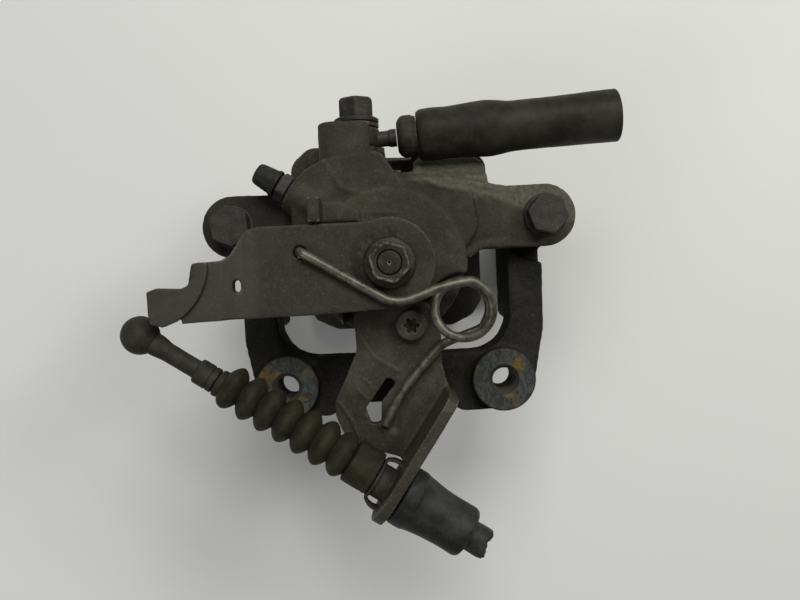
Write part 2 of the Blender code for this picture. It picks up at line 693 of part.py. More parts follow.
def cable_sleeve():
    outer = [(10.4, 105.1), (10.8, 105.8), (10.8, 110.8), (10.0, 113.4), (9.0, 117.5), (8.6, 122.0),
             (8.5, 131.0), (7.6, 132.2)]
    profile = [(5.5, 105.1)] + outer + [(5.5, 132.2)]
    return solid("cable_sleeve", on_cable(turned(profile, 18, ring=True)), "rubber")


def cable_sheath():
    profile = [(1.8, 105.4), (5.2, 105.4), (5.2, 140.6), (1.8, 140.2)]
    return solid("cable_sheath", on_cable(turned(profile, 14, ring=True)), "rubber")


def build_all():
    clear_scene()
    caliper_housing()
    carrier_bracket()
    for label, side in (("left", -1), ("right", 1)):
        guide_pin("guide_pin_" + label, side)
        guide_boot("guide_boot_" + label, side)
        guide_bolt("guide_bolt_" + label, side)
    piston()
    ring_piece("piston_seal", 19.02, 21.2, 66.3, 69.2, "rubber", 28)
    piston_dust_boot()
    lever_shaft()
    ring_piece("thrust_washer", SHAFT_R + 0.4, 11.0, 100.3, 101.7, "bronze")
    ring_piece("shaft_bush", SHAFT_R + SHAFT_CLEARANCE, 9.0, 102.6, 110.6, "bronze", SHAFT_STEPS)
    ring_piece("shaft_seal", SHAFT_R + SHAFT_CLEARANCE, 10.0, 111.2, 114.6, "rubber", SHAFT_STEPS)
    for index in range(3):
        ramp_ball("ramp_ball_" + str(index + 1), index)
    adjuster_spindle()
    adjuster_nut()
    adjuster_spring()
    spring_cup()
    circlip()
    parking_lever()
    lever_nut()
    return_spring()
    cable_bracket()
    bracket_screw()
    banjo_bolt()
    banjo_washer("banjo_washer_inner", INLET_FACE + GAP)
    banjo_washer("banjo_washer_outer", 51.3)
    hose_fitting()
    hose_ferrule()
    brake_hose()
    hose_sleeve()
    bleed_screw()
    bleed_cap()
    cable_end()
    cable_collar()
    cable_inner_wire()
    cable_boot()
    cable_clip()
    cable_sleeve()
    cable_sheath()
    for obj in bpy.context.scene.objects:
        obj.data.shade_smooth()
        obj.data.set_sharp_from_angle(angle=math.radians(35))


build_all()
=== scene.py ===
import json
import random
from math import ceil, cos, dist, pi, radians, sin

import bmesh
import bpy
import numpy as np
from mathutils import Matrix, Vector, noise


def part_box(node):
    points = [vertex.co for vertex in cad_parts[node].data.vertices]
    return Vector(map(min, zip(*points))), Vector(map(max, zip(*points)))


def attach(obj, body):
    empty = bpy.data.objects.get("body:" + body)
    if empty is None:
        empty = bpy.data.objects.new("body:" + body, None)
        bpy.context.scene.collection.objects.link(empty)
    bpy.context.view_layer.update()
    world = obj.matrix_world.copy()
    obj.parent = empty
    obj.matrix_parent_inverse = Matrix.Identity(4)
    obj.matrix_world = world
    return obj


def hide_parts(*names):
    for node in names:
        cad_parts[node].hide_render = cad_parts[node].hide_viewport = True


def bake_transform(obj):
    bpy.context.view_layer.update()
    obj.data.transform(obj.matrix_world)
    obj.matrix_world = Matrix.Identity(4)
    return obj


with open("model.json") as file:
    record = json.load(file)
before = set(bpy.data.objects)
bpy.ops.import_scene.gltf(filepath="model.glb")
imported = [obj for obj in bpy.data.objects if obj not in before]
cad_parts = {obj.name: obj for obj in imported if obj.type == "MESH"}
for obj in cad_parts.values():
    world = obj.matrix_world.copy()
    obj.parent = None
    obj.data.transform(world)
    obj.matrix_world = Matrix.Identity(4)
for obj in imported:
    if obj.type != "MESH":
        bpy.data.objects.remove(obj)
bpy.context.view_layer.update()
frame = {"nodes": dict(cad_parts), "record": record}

mm = 0.001
nutLow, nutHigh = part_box("lever_nut")
axisX = (nutLow.x + nutHigh.x) / 2      # the piston axis, which every length below is measured from
axisY = (nutLow.y + nutHigh.y) / 2
print("frame loaded, piston axis at", round(axisX, 5), round(axisY, 5))


# small tools for meshes, in millimetres from the piston axis

def toMetres(bm):
    bm.transform(Matrix.Translation((axisX, axisY, 0)) @ Matrix.Scale(mm, 4))
    return bm


def neighbourMean(points, edges):
    total = np.zeros_like(points)
    count = np.zeros(len(points))
    for a, b in ((0, 1), (1, 0)):
        for k in range(points.shape[1]):
            total[:, k] += np.bincount(edges[:, a], points[edges[:, b], k], len(points))
        count += np.bincount(edges[:, a], minlength=len(points))
    return total / np.maximum(count, 1)[:, None]


def readMesh(mesh):
    points = np.zeros(len(mesh.vertices) * 3)
    mesh.vertices.foreach_get("co", points)
    edges = np.zeros(len(mesh.edges) * 2, int)
    mesh.edges.foreach_get("vertices", edges)
    normals = np.zeros(len(mesh.vertices) * 3)
    mesh.vertices.foreach_get("normal", normals)
    return points.reshape(-1, 3), edges.reshape(-1, 2), normals.reshape(-1, 3)


def movePoints(mesh, points):
    mesh.vertices.foreach_set("co", points.ravel())
    mesh.update()


# how sharply each point stands proud of its neighbours, for worn edges and for painted shade in sunken
# corners
def markWearAndShade(mesh, passes):
    points, edges, normals = readMesh(mesh)
    reach = ((points[edges[:, 0]] - points[edges[:, 1]]) ** 2).sum(1)
    square = np.bincount(edges[:, 0], reach, len(points)) + np.bincount(edges[:, 1], reach, len(points))
    count = np.bincount(edges.ravel(), minlength=len(points))
    bulge = -((neighbourMean(points, edges) - points) * normals).sum(1)
    curve = 2 * bulge / np.maximum(square / np.maximum(count, 1), 1e-12) * mm
    curve = np.clip(curve, -4, 4)[:, None]
    for _ in range(passes):
        curve = (curve + neighbourMean(curve, edges)) / 2
    attribute = mesh.attributes.new("wearAndShade", "FLOAT", "POINT")
    attribute.data.foreach_set("value", curve[:, 0].astype(np.float32))


def finishPiece(name, mesh, body, paint, replaces, sharp, blend):
    obj = bpy.data.objects.new(name, mesh)
    bpy.context.scene.collection.objects.link(obj)
    mesh.shade_smooth()
    mesh.set_sharp_from_angle(angle=radians(sharp))
    if "wearAndShade" not in mesh.attributes:
        markWearAndShade(mesh, 1)
    mesh.materials.clear()
    mesh.materials.append(paint)
    if blend:
        spot(blend[1])
        spot(blend[2])
        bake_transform(obj)
    else:
        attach(obj, body)
    if replaces:
        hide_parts(*replaces)


def piece(name, bm, body, paint, replaces=(), sharp=32, blend=None):
    toMetres(bm)
    bmesh.ops.recalc_face_normals(bm, faces=bm.faces)
    mesh = bpy.data.meshes.new(name)
    bm.to_mesh(mesh)
    bm.free()
    finishPiece(name, mesh, body, paint, replaces, sharp, blend)


# millimetres from the piston axis to the frame's metres
def spot(point):
    return (axisX + point[0] * mm, axisY + point[1] * mm, point[2] * mm)


# rounds the corners of a (radius, height) profile; a third number is the corner's radius
def softProfile(points, steps=4):
    out = []
    for i, point in enumerate(points):
        radius = point[2] if len(point) > 2 else 0
        if radius == 0 or i in (0, len(points) - 1):
            out.append(point[:2])
            continue
        here = Vector(point[:2])
        before = Vector(points[i - 1][:2]) - here
        after = Vector(points[i + 1][:2]) - here
        reach = min(radius, before.length * 0.48, after.length * 0.48)
        start = here + before.normalized() * reach
        end = here + after.normalized() * reach
        for k in range(steps + 1):
            t = k / steps
            place = start * (1 - t) ** 2 + here * 2 * t * (1 - t) + end * t ** 2
            out.append((place.x, place.y))
    return out


# splits the long stretches of a profile, so that its skin can be dented
def fineProfile(points, longest):
    out = [points[0]]
    for a, b in zip(points, points[1:]):
        count = max(1, ceil(dist(a, b) / longest))
        for k in range(1, count + 1):
            out.append((a[0] + (b[0] - a[0]) * k / count, a[1] + (b[1] - a[1]) * k / count))
    return out


# turns a profile round Z, closed on itself where ring is set
# shape(angle, radius, height) may change the radius
def turned(profile, steps, ring=False, shape=None):
    bm = bmesh.new()
    rows = []
    for radius, height in profile:
        if radius == 0:
            rows.append([bm.verts.new((0, 0, height))])
            continue
        row = []
        for k in range(steps):
            angle = 2 * pi * k / steps
            r = shape(angle, radius, height) if shape else radius
            row.append(bm.verts.new((r * cos(angle), r * sin(angle), height)))
        rows.append(row)
    pairs = list(zip(rows, rows[1:]))
    if ring:
        pairs.append((rows[-1], rows[0]))
    for lower, upper in pairs:
        for k in range(steps):
            n = (k + 1) % steps
            if len(lower) == 1:
                bm.faces.new((lower[0], upper[n], upper[k]))
            elif len(upper) == 1:
                bm.faces.new((lower[k], lower[n], upper[0]))
            else:
                bm.faces.new((lower[k], lower[n], upper[n], upper[k]))
    if not ring:
        for row in (rows[0], rows[-1]):
            if len(row) > 1:
                bm.faces.new(row)
    return bm


# how dented a turned piece is at a place, from -1 to 1; larger numbers put the dents closer together
def dent(angle, height, around, along):
    return noise.noise(Vector((cos(angle) * around, sin(angle) * around, height * along)))


def aimed(bm, offset, axis=(0, 0, 1)):
    bm.transform(Vector(axis).to_track_quat("Z", "Y").to_matrix().to_4x4())
    bm.transform(Matrix.Translation(Vector(offset)))
    return bm


# a hexagonal head above foot and the round flange below it; the corners are rounded a little
def hexShape(acrossFlats, turn, foot):
    flat = acrossFlats / 2
    sharpCorner = flat * 1.155      # how far out a hexagon's sharp corner is
    rounding = 0.2

    def shape(angle, radius, height):
        if height < foot:
            return radius
        a = (angle - turn) % (pi / 3) - pi / 6
        reach = (flat / cos(a) - rounding * abs(a / (pi / 6)) ** 8) / sharpCorner
        return min(radius, sharpCorner * reach) if radius < flat * 0.8 else radius * min(1, reach)
    return shape


def joined(*forms):
    whole = bmesh.new()
    for bm in forms:
        mesh = bpy.data.meshes.new("part")
        bm.to_mesh(mesh)
        bm.free()
        whole.from_mesh(mesh)
        bpy.data.meshes.remove(mesh)
    return whole


# a round wire along the points; taper(t) scales its radius from 0 at the start to 1 at the end
def sweep(points, radius, sides, taper=None):
    bm = bmesh.new()
    rings = []
    normal = None
    for i, point in enumerate(points):
        forward = (points[min(i + 1, len(points) - 1)] - points[max(i - 1, 0)]).normalized()
        if normal is None:
            normal = forward.orthogonal().normalized()
        normal = (normal - forward * normal.dot(forward)).normalized()
        across = forward.cross(normal)
        r = radius * (taper(i / (len(points) - 1)) if taper else 1)
        rings.append([bm.verts.new(point + normal * r * cos(2 * pi * k / sides)
                                   + across * r * sin(2 * pi * k / sides)) for k in range(sides)])
    for near, far in zip(rings, rings[1:]):
        for k in range(sides):
            n = (k + 1) % sides
            bm.faces.new((near[k], near[n], far[n], far[k]))
    bm.faces.new(rings[0])
    bm.faces.new(rings[-1])
    return bm


# a smooth curve through the points
def smoothLine(points, steps):
    out = []
    for i in range(len(points) - 1):
        p0 = points[max(i - 1, 0)]
        p1, p2 = points[i], points[i + 1]
        p3 = points[min(i + 2, len(points) - 1)]
        for k in range(steps):
            t = k / steps
            out.append(0.5 * ((2 * p1) + (p2 - p0) * t + (2 * p0 - 5 * p1 + 4 * p2 - p3) * t * t
                              + (3 * p1 - p0 - 3 * p2 + p3) * t ** 3))
    out.append(points[-1])
    return out


# distance in plan from each point to a line of (x, y) corners
def awayFrom(local, line):
    best = np.full(len(local), 1e9)
    for a, b in zip(line, line[1:]):
        a, b = np.array(a, float), np.array(b, float)
        step = b - a
        t = np.clip(((local[:, :2] - a) @ step) / (step @ step), 0, 1)
        best = np.minimum(best, np.linalg.norm(local[:, :2] - a - t[:, None] * step, axis=1))
    return best


# a fine copy of a CAD node with rounded edges and an uneven skin; hold keeps machined faces as they are
# each mark is its corners in plan, its width, its height (below 0 for a groove) and its lowest level
def fineCopy(node, values, body, paint, hold=None):
    temp = bpy.data.objects.new(node + "_fine", frame["nodes"][node].data.copy())
    bpy.context.scene.collection.objects.link(temp)
    remesh = temp.modifiers.new("fine", "REMESH")
    remesh.mode = "VOXEL"
    remesh.voxel_size = values["voxel"] * mm
    mesh = bpy.data.meshes.new_from_object(temp.evaluated_get(bpy.context.evaluated_depsgraph_get()))
    mesh.name = node + "_fine"
    bpy.data.objects.remove(temp, do_unlink=True)
    points, edges, normals = readMesh(mesh)
    start = points.copy()
    local = (points - np.array([axisX, axisY, 0])) / mm
    kept = hold(local) if hold else np.zeros(len(points))
    pull = 0.6
    for k in range(values["smoothing"]):
        step = pull if k % 2 == 0 else -pull * values["keepSize"]      # every second pass swells it back
        points = points + (neighbourMean(points, edges) - points) * step
    points = points * (1 - kept[:, None]) + start * kept[:, None]
    movePoints(mesh, points)
    points, edges, normals = readMesh(mesh)
    local = (points - np.array([axisX, axisY, 0])) / mm
    lift = np.full(len(points), -values["sink"])
    facingUp = np.clip(normals[:, 2] * 2 - 0.6, 0, 1)
    for line, width, height, floor in values["marks"]:
        near = np.exp(-(awayFrom(local, line) / width) ** 2)
        lift += near * height * facingUp * (local[:, 2] > floor)
    movePoints(mesh, points + normals * (lift * mm)[:, None])
    markWearAndShade(mesh, 2)
    points, edges, normals = readMesh(mesh)
    lift = np.zeros(len(points))
    for size, height in values["skin"]:
        scale = 1 / (size * mm)
        lift += np.array([noise.noise(Vector(p) * scale) for p in points]) * height
    movePoints(mesh, points + normals * (lift * mm * (1 - kept))[:, None])
    finishPiece(node + "_surface", mesh, body, paint, [node], 70, None)


# shader maths

class Link:
    def __init__(self, paint, socket):
        self.paint = paint
        self.socket = socket

    def maths(self, operation, first, second):
        return self.paint.add("ShaderNodeMath", {"operation": operation}, {0: first, 1: second})

    def __add__(self, other):
        return self.maths("ADD", self, other)

    __radd__ = __add__

    def __sub__(self, other):
        return self.maths("SUBTRACT", self, other)

    def __rsub__(self, other):
        return self.maths("SUBTRACT", other, self)

    def __mul__(self, other):
        return self.maths("MULTIPLY", self, other)

    __rmul__ = __mul__

    def __pow__(self, other):
        return self.maths("POWER", self, other)

    def clamped(self):
        return self.paint.add("ShaderNodeClamp", {}, {"Value": self}, "Result")

    # 0 below low, 1 above high, smooth between them
    def between(self, low, high):
        return self.paint.add("ShaderNodeMapRange", {"interpolation_type": "SMOOTHSTEP"},
                              {"Value": self, "From Min": low, "From Max": high}, "Result")


class Paint:
    def __init__(self, name):
        self.material = bpy.data.materials.new(name)
        self.material.use_nodes = True
        self.tree = self.material.node_tree
        self.shader = self.tree.nodes["Principled BSDF"]
        self.spot = self.add("ShaderNodeTexCoord", {}, {}, "Object")

    def put(self, socket, value):
        if isinstance(value, Link):
            self.tree.links.new(value.socket, socket)
        else:
            socket.default_value = (*value, 1.0) if socket.type == "RGBA" else value

    def add(self, kind, settings, inputs, output=0):
        node = self.tree.nodes.new(kind)
        for key, value in settings.items():
            setattr(node, key, value)
        for key, value in inputs.items():
            self.put(node.inputs[key], value)
        return Link(self, node.outputs[output])

    # noise whose grains are about this many millimetres across
    def grains(self, size, detail=4.0, roughness=0.6, stretch=(1, 1, 1), distortion=0.0):
        where = self.spot
        if stretch != (1, 1, 1):
            where = self.add("ShaderNodeVectorMath", {"operation": "MULTIPLY"}, {0: self.spot, 1: stretch})
        return self.add("ShaderNodeTexNoise", {}, {"Vector": where, "Scale": 1000 / size, "Detail": detail,
                                                   "Roughness": roughness, "Distortion": distortion}, "Fac")

    def cells(self, size):
        return self.add("ShaderNodeTexVoronoi", {}, {"Vector": self.spot, "Scale": 1000 / size}, "Distance")

    def mixed(self, factor, first, second):
        return self.add("ShaderNodeMix", {"data_type": "RGBA"}, {0: factor, 6: first, 7: second}, 2)

    # a coordinate of the piece in millimetres from the piston axis
    def along(self, axis):
        parts = self.add("ShaderNodeSeparateXYZ", {}, {0: self.spot}, axis)
        shift = {"X": axisX, "Y": axisY, "Z": 0.0}[axis]
        return (parts - shift) * 1000

    # proud edges for wear and sunken corners for painted shade, each from 0 to 1
    def edges(self):
        edge = self.add("ShaderNodeAttribute", {"attribute_name": "wearAndShade"}, {}, "Fac")
        return edge.between(0.3, 1.3), (0 - edge).between(0.25, 1.2)

    # "extra" may change the colour and the roughness where one piece differs from the rest
    def finish(self, values, colour, roughness, height):
        if "extra" in values:
            colour, roughness = values["extra"](self, colour, roughness)
        bump = self.add("ShaderNodeBump", {}, {"Height": height, "Distance": values["bump"] * mm}, "Normal")
        for name, value in (("Base Color", colour), ("Roughness", roughness), ("Normal", bump),
                            ("Metallic", values.get("metallic", 0.0)),
                            ("Specular IOR Level", values["shine"])):
            self.put(self.shader.inputs[name], value)
        return self.material


# greasy cast iron: dark film, dust in patches, fine scrapes, worn edges, dark dirt specks and painted shade
# in sunken corners
def castIron(name, values):
    p = Paint(name)
    edge, corner = p.edges()
    blotch = p.grains(values["blotch"], 5, 0.65)
    fine = p.grains(0.9, 5, 0.7)
    speck = p.grains(2.6, 8, 0.78)
    pits = p.cells(1.3)
    scrape = p.grains(5.0, 3, 0.5, stretch=(1, 0.35, 1), distortion=2.5)
    colour = p.mixed(blotch.between(0.35, 0.68), values["dark"], values["middle"])
    colour = p.mixed((fine.between(0.5, 0.74) * values["grain"]).clamped(), colour, values["dust"])
    colour = p.mixed((speck.between(0.60, 0.68) * 0.8).clamped(), colour, values["dust"])
    colour = p.mixed((scrape.between(0.497, 0.503) * (1 - scrape.between(0.503, 0.512))
                      * blotch.between(0.45, 0.6) * 0.6).clamped(), colour, values["worn"])
    colour = p.mixed((edge * (fine * 2.2 + speck * 0.6)).clamped(), colour, values["worn"])
    # painted shade darkens the sunken corners; the dark specks mixed in with it are dirt
    dirtAndShade = (corner * 0.85 + (1 - speck).between(0.6, 0.72) * 0.6).clamped()
    colour = p.mixed(dirtAndShade, colour, values["grimeAndShade"])
    height = fine * 0.7 + pits.between(0.0, 0.45) * 0.3 + speck * 0.5
    rough = (values["roughness"] + blotch * 0.2 - edge * 0.1 + speck * 0.12).clamped()
    return p.finish(values, colour, rough, height)


# rolled, pressed or turned steel under old grease, scratched and rubbed bright on its edges, with dark dirt
# specks and painted shade in its sunken corners
def wornSteel(name, values):
    p = Paint(name)
    edge, corner = p.edges()
    blotch = p.grains(values["blotch"], 6, 0.68)
    fine = p.grains(0.8, 5, 0.68)
    speck = p.grains(2.2, 8, 0.78)
    scratch = p.grains(1.6, 2, 0.5, stretch=(0.25, 1.1, 1), distortion=2.0)
    colour = p.mixed(blotch.between(0.34, 0.66), values["dark"], values["middle"])
    colour = p.mixed((fine.between(0.52, 0.76) * 0.5).clamped(), colour, values["worn"])
    colour = p.mixed((scratch.between(0.498, 0.502) * (1 - scratch.between(0.502, 0.508))
                      * blotch.between(0.5, 0.62) * 0.35).clamped(), colour, values["worn"])
    colour = p.mixed((edge * (0.3 + fine * 1.1)).clamped(), colour, values["worn"])
    # painted shade darkens the sunken corners, by the corner amount; the dark specks are dirt
    dirtAndShade = (corner * values.get("corner", 0.85) + (1 - speck).between(0.6, 0.74) * 0.55).clamped()
    colour = p.mixed(dirtAndShade, colour, values["grimeAndShade"])
    height = fine * 0.7 + speck * 0.4
    rough = (values["roughness"] + blotch * 0.2 + fine * 0.1 - edge * 0.1).clamped()
    return p.finish(values, colour, rough, height)


# rubber under dust that gathers on its folds, with painted shade in its creases
def dustyRubber(name, values):
    p = Paint(name)
    edge, corner = p.edges()
    blotch = p.grains(values["blotch"], 6, 0.7)
    fine = p.grains(0.7, 6, 0.7)
    colour = p.mixed(blotch.between(0.36, 0.66), values["dark"], values["middle"])
    colour = p.mixed((edge * 0.35 + fine.between(0.54, 0.76) * 0.5).clamped(), colour, values["dust"])
    # painted shade darkens the creases
    colour = p.mixed((corner * 0.9).clamped(), colour, values["grimeAndShade"])
    rough = (values["roughness"] + fine * 0.16 - blotch * 0.08).clamped()
    return p.finish(values, colour, rough, fine + blotch * 0.5)


camera = {"place": (0.00679, 0.01601, 0.392), "target": (0.00583, 0.00428, 0.0),
          "up": (0.04006, 0.99875, -0.02999), "lens": 36.0, "sensor": 36.0}


def makeCamera(values):
    data = bpy.data.cameras.new("camera")
    data.lens = values["lens"]
    data.sensor_width = values["sensor"]
    data.clip_start = 0.01
    obj = bpy.data.objects.new("camera", data)
    bpy.context.scene.collection.objects.link(obj)
    place = Vector(values["place"])
    back = (place - Vector(values["target"])).normalized()
    right = Vector(values["up"]).cross(back).normalized()
    up = back.cross(right)
    obj.matrix_world = Matrix.Translation(place) @ Matrix((right, up, back)).transposed().to_4x4()
    bpy.context.scene.camera = obj


makeCamera(camera)

# each light is its name, watts, metres across, place and colour
studio = {"lights": (("window", 18.5, 0.9, (0.12, 1.10, 1.55), (1.0, 1.0, 0.98)),
                     ("side", 2.9, 0.25, (0.60, 0.35, 0.80), (1.0, 0.99, 0.96)),
                     ("left", 1.7, 0.5, (-0.65, -0.40, 0.80), (0.98, 0.99, 1.0))),
          "aim": (0.0, 0.0, 0.05), "world": 0.12, "sky": (0.95, 0.97, 1.0),
          "floor": (0.86, 0.86, 0.82), "floorShade": (0.70, 0.71, 0.69), "floorHalf": 1.6,
          "gap": 0.0002, "bump": 0.04, "shine": 0.35}


def areaLight(name, power, size, place, colour, target):
    data = bpy.data.lights.new(name, "AREA")
    data.energy = power
    data.size = size
    data.color = colour
    obj = bpy.data.objects.new(name, data)
    bpy.context.scene.collection.objects.link(obj)
    obj.location = place
    obj.rotation_euler = (Vector(target) - Vector(place)).to_track_quat("-Z", "Y").to_euler()


def makeStudio(values):
    for light in values["lights"]:
        areaLight(*light, values["aim"])
    world = bpy.data.worlds.new("studio")
    world.use_nodes = True
    background = world.node_tree.nodes["Background"]
    background.inputs["Color"].default_value = (*values["sky"], 1.0)
    background.inputs["Strength"].default_value = values["world"]
    bpy.context.scene.world = world
    bpy.context.scene.view_settings.view_transform = "Standard"
    p = Paint("floor")
    soft = p.grains(260, 2, 0.5)
    fine = p.grains(2.5, 6, 0.6)
    tone = p.mixed((soft * 0.5 + fine * 0.1).clamped(), values["floor"], values["floorShade"])
    paper = p.finish(values, tone, 0.62, fine)
    bm = bmesh.new()
    bmesh.ops.create_grid(bm, x_segments=2, y_segments=2, size=values["floorHalf"])
    mesh = bpy.data.meshes.new("floor")
    bm.to_mesh(mesh)
    bm.free()
    mesh.materials.append(paper)
    floor = bpy.data.objects.new("floor", mesh)
    floor.location.z = -values["gap"]
    bpy.context.scene.collection.objects.link(floor)


makeStudio(studio)
print("camera and studio ready")


# a pair of plain numbers here is where a change begins and where it is complete, in millimetres
# a pair of colours is what the surface varies between; the same holds for the mount, nut and rim dictionaries
# below
# the dust colours here paint a highlight beyond the parting line, and the arm colour paints shade on the left
# arm
parting = {"slope": 0.3, "line": (31.8, 34.6), "x": (5.0, 12.0), "z": (74.0, 78.0), "amount": 0.75,
           "dust": ((0.078, 0.073, 0.053), (0.140, 0.134, 0.100)),
           "arm": (-43.0, -37.0), "armAmount": 0.55, "armShade": (0.012, 0.0115, 0.0088)}


# the casting is painted paler beyond its parting line, a painted highlight for its lit slope with a dusty
# grain in it, and darker out on its left arm with painted shade
def partingLine(p, colour, rough):
    x, y, z = p.along("X"), p.along("Y"), p.along("Z")
    beyond = (y + x * parting["slope"]).between(*parting["line"]) * x.between(*parting["x"])
    beyond = beyond * z.between(*parting["z"])
    # the two dust colours paint the highlight of the lit slope
    dust = p.mixed(p.grains(2.0, 5, 0.7).between(0.35, 0.65), *parting["dust"])
    colour = p.mixed(beyond * parting["amount"], colour, dust)
    # painted shade on the left arm
    colour = p.mixed((1 - x.between(*parting["arm"])) * parting["armAmount"], colour, parting["armShade"])
    return colour, rough


housingIron = castIron("housing_iron", {
    "dark": (0.029, 0.026, 0.018), "middle": (0.050, 0.045, 0.031), "dust": (0.085, 0.080, 0.056),
    "worn": (0.15, 0.143, 0.105), "grimeAndShade": (0.010, 0.009, 0.006), "blotch": 14, "roughness": 0.5,
    "metallic": 0.15, "bump": 0.22, "grain": 0.5, "shine": 0.22, "extra": partingLine})


# the carrier's two threaded bosses, for its paint and for its rings
mount = {"x": 41.3, "y": -45.4, "top": 89.0, "low": 67.0, "radius": 12.0, "hole": 5.1, "pitch": 1.5,
         "threadDepth": 0.75, "face": (88.6, 88.8), "edge": (11.5, 11.9), "bore": (5.7, 5.9),
         "boreFoot": (66.0, 66.5), "metal": ((0.032, 0.036, 0.035), (0.075, 0.079, 0.071)),
         "rust": ((0.155, 0.10, 0.022), (0.080, 0.062, 0.025)), "stain": (0.018, 0.019, 0.017),
         "boreSteel": (0.045, 0.042, 0.034)}


# machined faces round the threaded holes: blue grey with cutter marks, orange rust in patches
def ringFace(p, colour, rough):
    x, y, z = p.along("X"), p.along("Y"), p.along("Z")
    dx = p.add("ShaderNodeMath", {"operation": "ABSOLUTE"}, {0: x}) - mount["x"]
    dy = y - mount["y"]
    radius = (dx * dx + dy * dy) ** 0.5
    face = z.between(*mount["face"]) * (1 - radius.between(*mount["edge"]))
    bore = (1 - radius.between(*mount["bore"])) * z.between(*mount["boreFoot"])
    streak = p.grains(2.4, 6, 0.75, stretch=(1, 0.6, 1), distortion=1.6)
    patch = p.grains(8.5, 4, 0.55, distortion=0.6)
    metal = p.mixed(streak.between(0.42, 0.6), *mount["metal"])
    rust = p.mixed(p.grains(1.8, 5).between(0.4, 0.6), *mount["rust"])
    metal = p.mixed(patch.between(0.56, 0.65) * 0.85, metal, rust)
    metal = p.mixed((1 - p.grains(5.0, 5, 0.6)).between(0.56, 0.66) * 0.7, metal, mount["stain"])
    colour = p.mixed(face, colour, metal)
    colour = p.mixed(bore, colour, mount["boreSteel"])
    return colour, (rough * (1 - bore * 0.45)).clamped()


carrierIron = castIron("carrier_iron", {
    "dark": (0.009, 0.0085, 0.006), "middle": (0.020, 0.0185, 0.0135), "dust": (0.050, 0.046, 0.034),
    "worn": (0.065, 0.060, 0.046), "grimeAndShade": (0.004, 0.004, 0.003), "blotch": 11, "roughness": 0.52,
    "metallic": 0.15, "bump": 0.28, "grain": 0.6, "shine": 0.22, "extra": ringFace})


# the grease colour paints grease and the nut's shadow round it; the claw colour is painted light on the claw
greaseShadowAndLight = {"x": -2.0, "away": (9.0, 15.0), "amount": 0.75, "greaseShadow": (0.008, 0.007, 0.004),
        "claw": (-47.0, -43.0), "clawAmount": 0.3, "clawLight": (0.075, 0.074, 0.060)}


# grease round the lever's nut, darkened further as a painted shadow of the nut, and painted light on its claw
def nutGreaseShadowAndLight(p, colour, rough):
    x, y = p.along("X"), p.along("Y")
    dx = x - greaseShadowAndLight["x"]
    away = (dx * dx + y * y) ** 0.5
    # painted light on the claw
    colour = p.mixed((1 - x.between(*greaseShadowAndLight["claw"])) * greaseShadowAndLight["clawAmount"], colour, greaseShadowAndLight["clawLight"])
    # grease together with the nut's painted shadow, a little left of the nut
    near = (1 - away.between(*greaseShadowAndLight["away"])) * p.grains(4.0, 6, 0.7).between(0.40, 0.55)
    colour = p.mixed((near * greaseShadowAndLight["amount"]).clamped(), colour, greaseShadowAndLight["greaseShadow"])
    return colour, (rough - near * 0.08).clamped()


leverSteel = wornSteel("lever_steel", {
    "dark": (0.026, 0.0235, 0.0155), "middle": (0.040, 0.036, 0.025), "worn": (0.13, 0.125, 0.095),
    "grimeAndShade": (0.012, 0.0105, 0.006), "roughness": 0.42, "metallic": 0.25, "bump": 0.07, "blotch": 12,
    "shine": 0.3, "extra": nutGreaseShadowAndLight})
# the bracket gets only a little painted shade in its corners
bracketSteel = wornSteel("bracket_steel", {
    "dark": (0.032, 0.029, 0.020), "middle": (0.056, 0.052, 0.037), "worn": (0.17, 0.162, 0.122),
    "grimeAndShade": (0.009, 0.008, 0.005), "corner": 0.25, "roughness": 0.42, "metallic": 0.25, "bump": 0.08,
    "blotch": 10, "shine": 0.3})
screwSteel = wornSteel("screw_steel", {
    "dark": (0.050, 0.048, 0.036), "middle": (0.082, 0.080, 0.061), "worn": (0.15, 0.145, 0.115),
    "grimeAndShade": (0.006, 0.0055, 0.004), "roughness": 0.45, "metallic": 0.3, "bump": 0.08, "blotch": 4,
    "shine": 0.3})
boltSteel = wornSteel("bolt_steel", {
    "dark": (0.023, 0.0215, 0.017), "middle": (0.043, 0.041, 0.033), "worn": (0.13, 0.125, 0.10),
    "grimeAndShade": (0.007, 0.0065, 0.005), "roughness": 0.42, "metallic": 0.3, "bump": 0.09, "blotch": 5,
    "shine": 0.3})
# a painted highlight on the nut's top rim
rimHighlight = {"z": (129.78, 129.92), "away": (5.0, 5.4), "amount": 0.75, "bright": (0.14, 0.132, 0.095)}


# a painted highlight along the nut's top rim
def nutRimHighlight(p, colour, rough):
    x, y = p.along("X"), p.along("Y")
    rim = p.along("Z").between(*rimHighlight["z"]) * p.grains(1.5, 4, 0.6).between(0.38, 0.56)
    rim = rim * ((x * x + y * y) ** 0.5).between(*rimHighlight["away"])
    return p.mixed(rim * rimHighlight["amount"], colour, rimHighlight["bright"]), rough


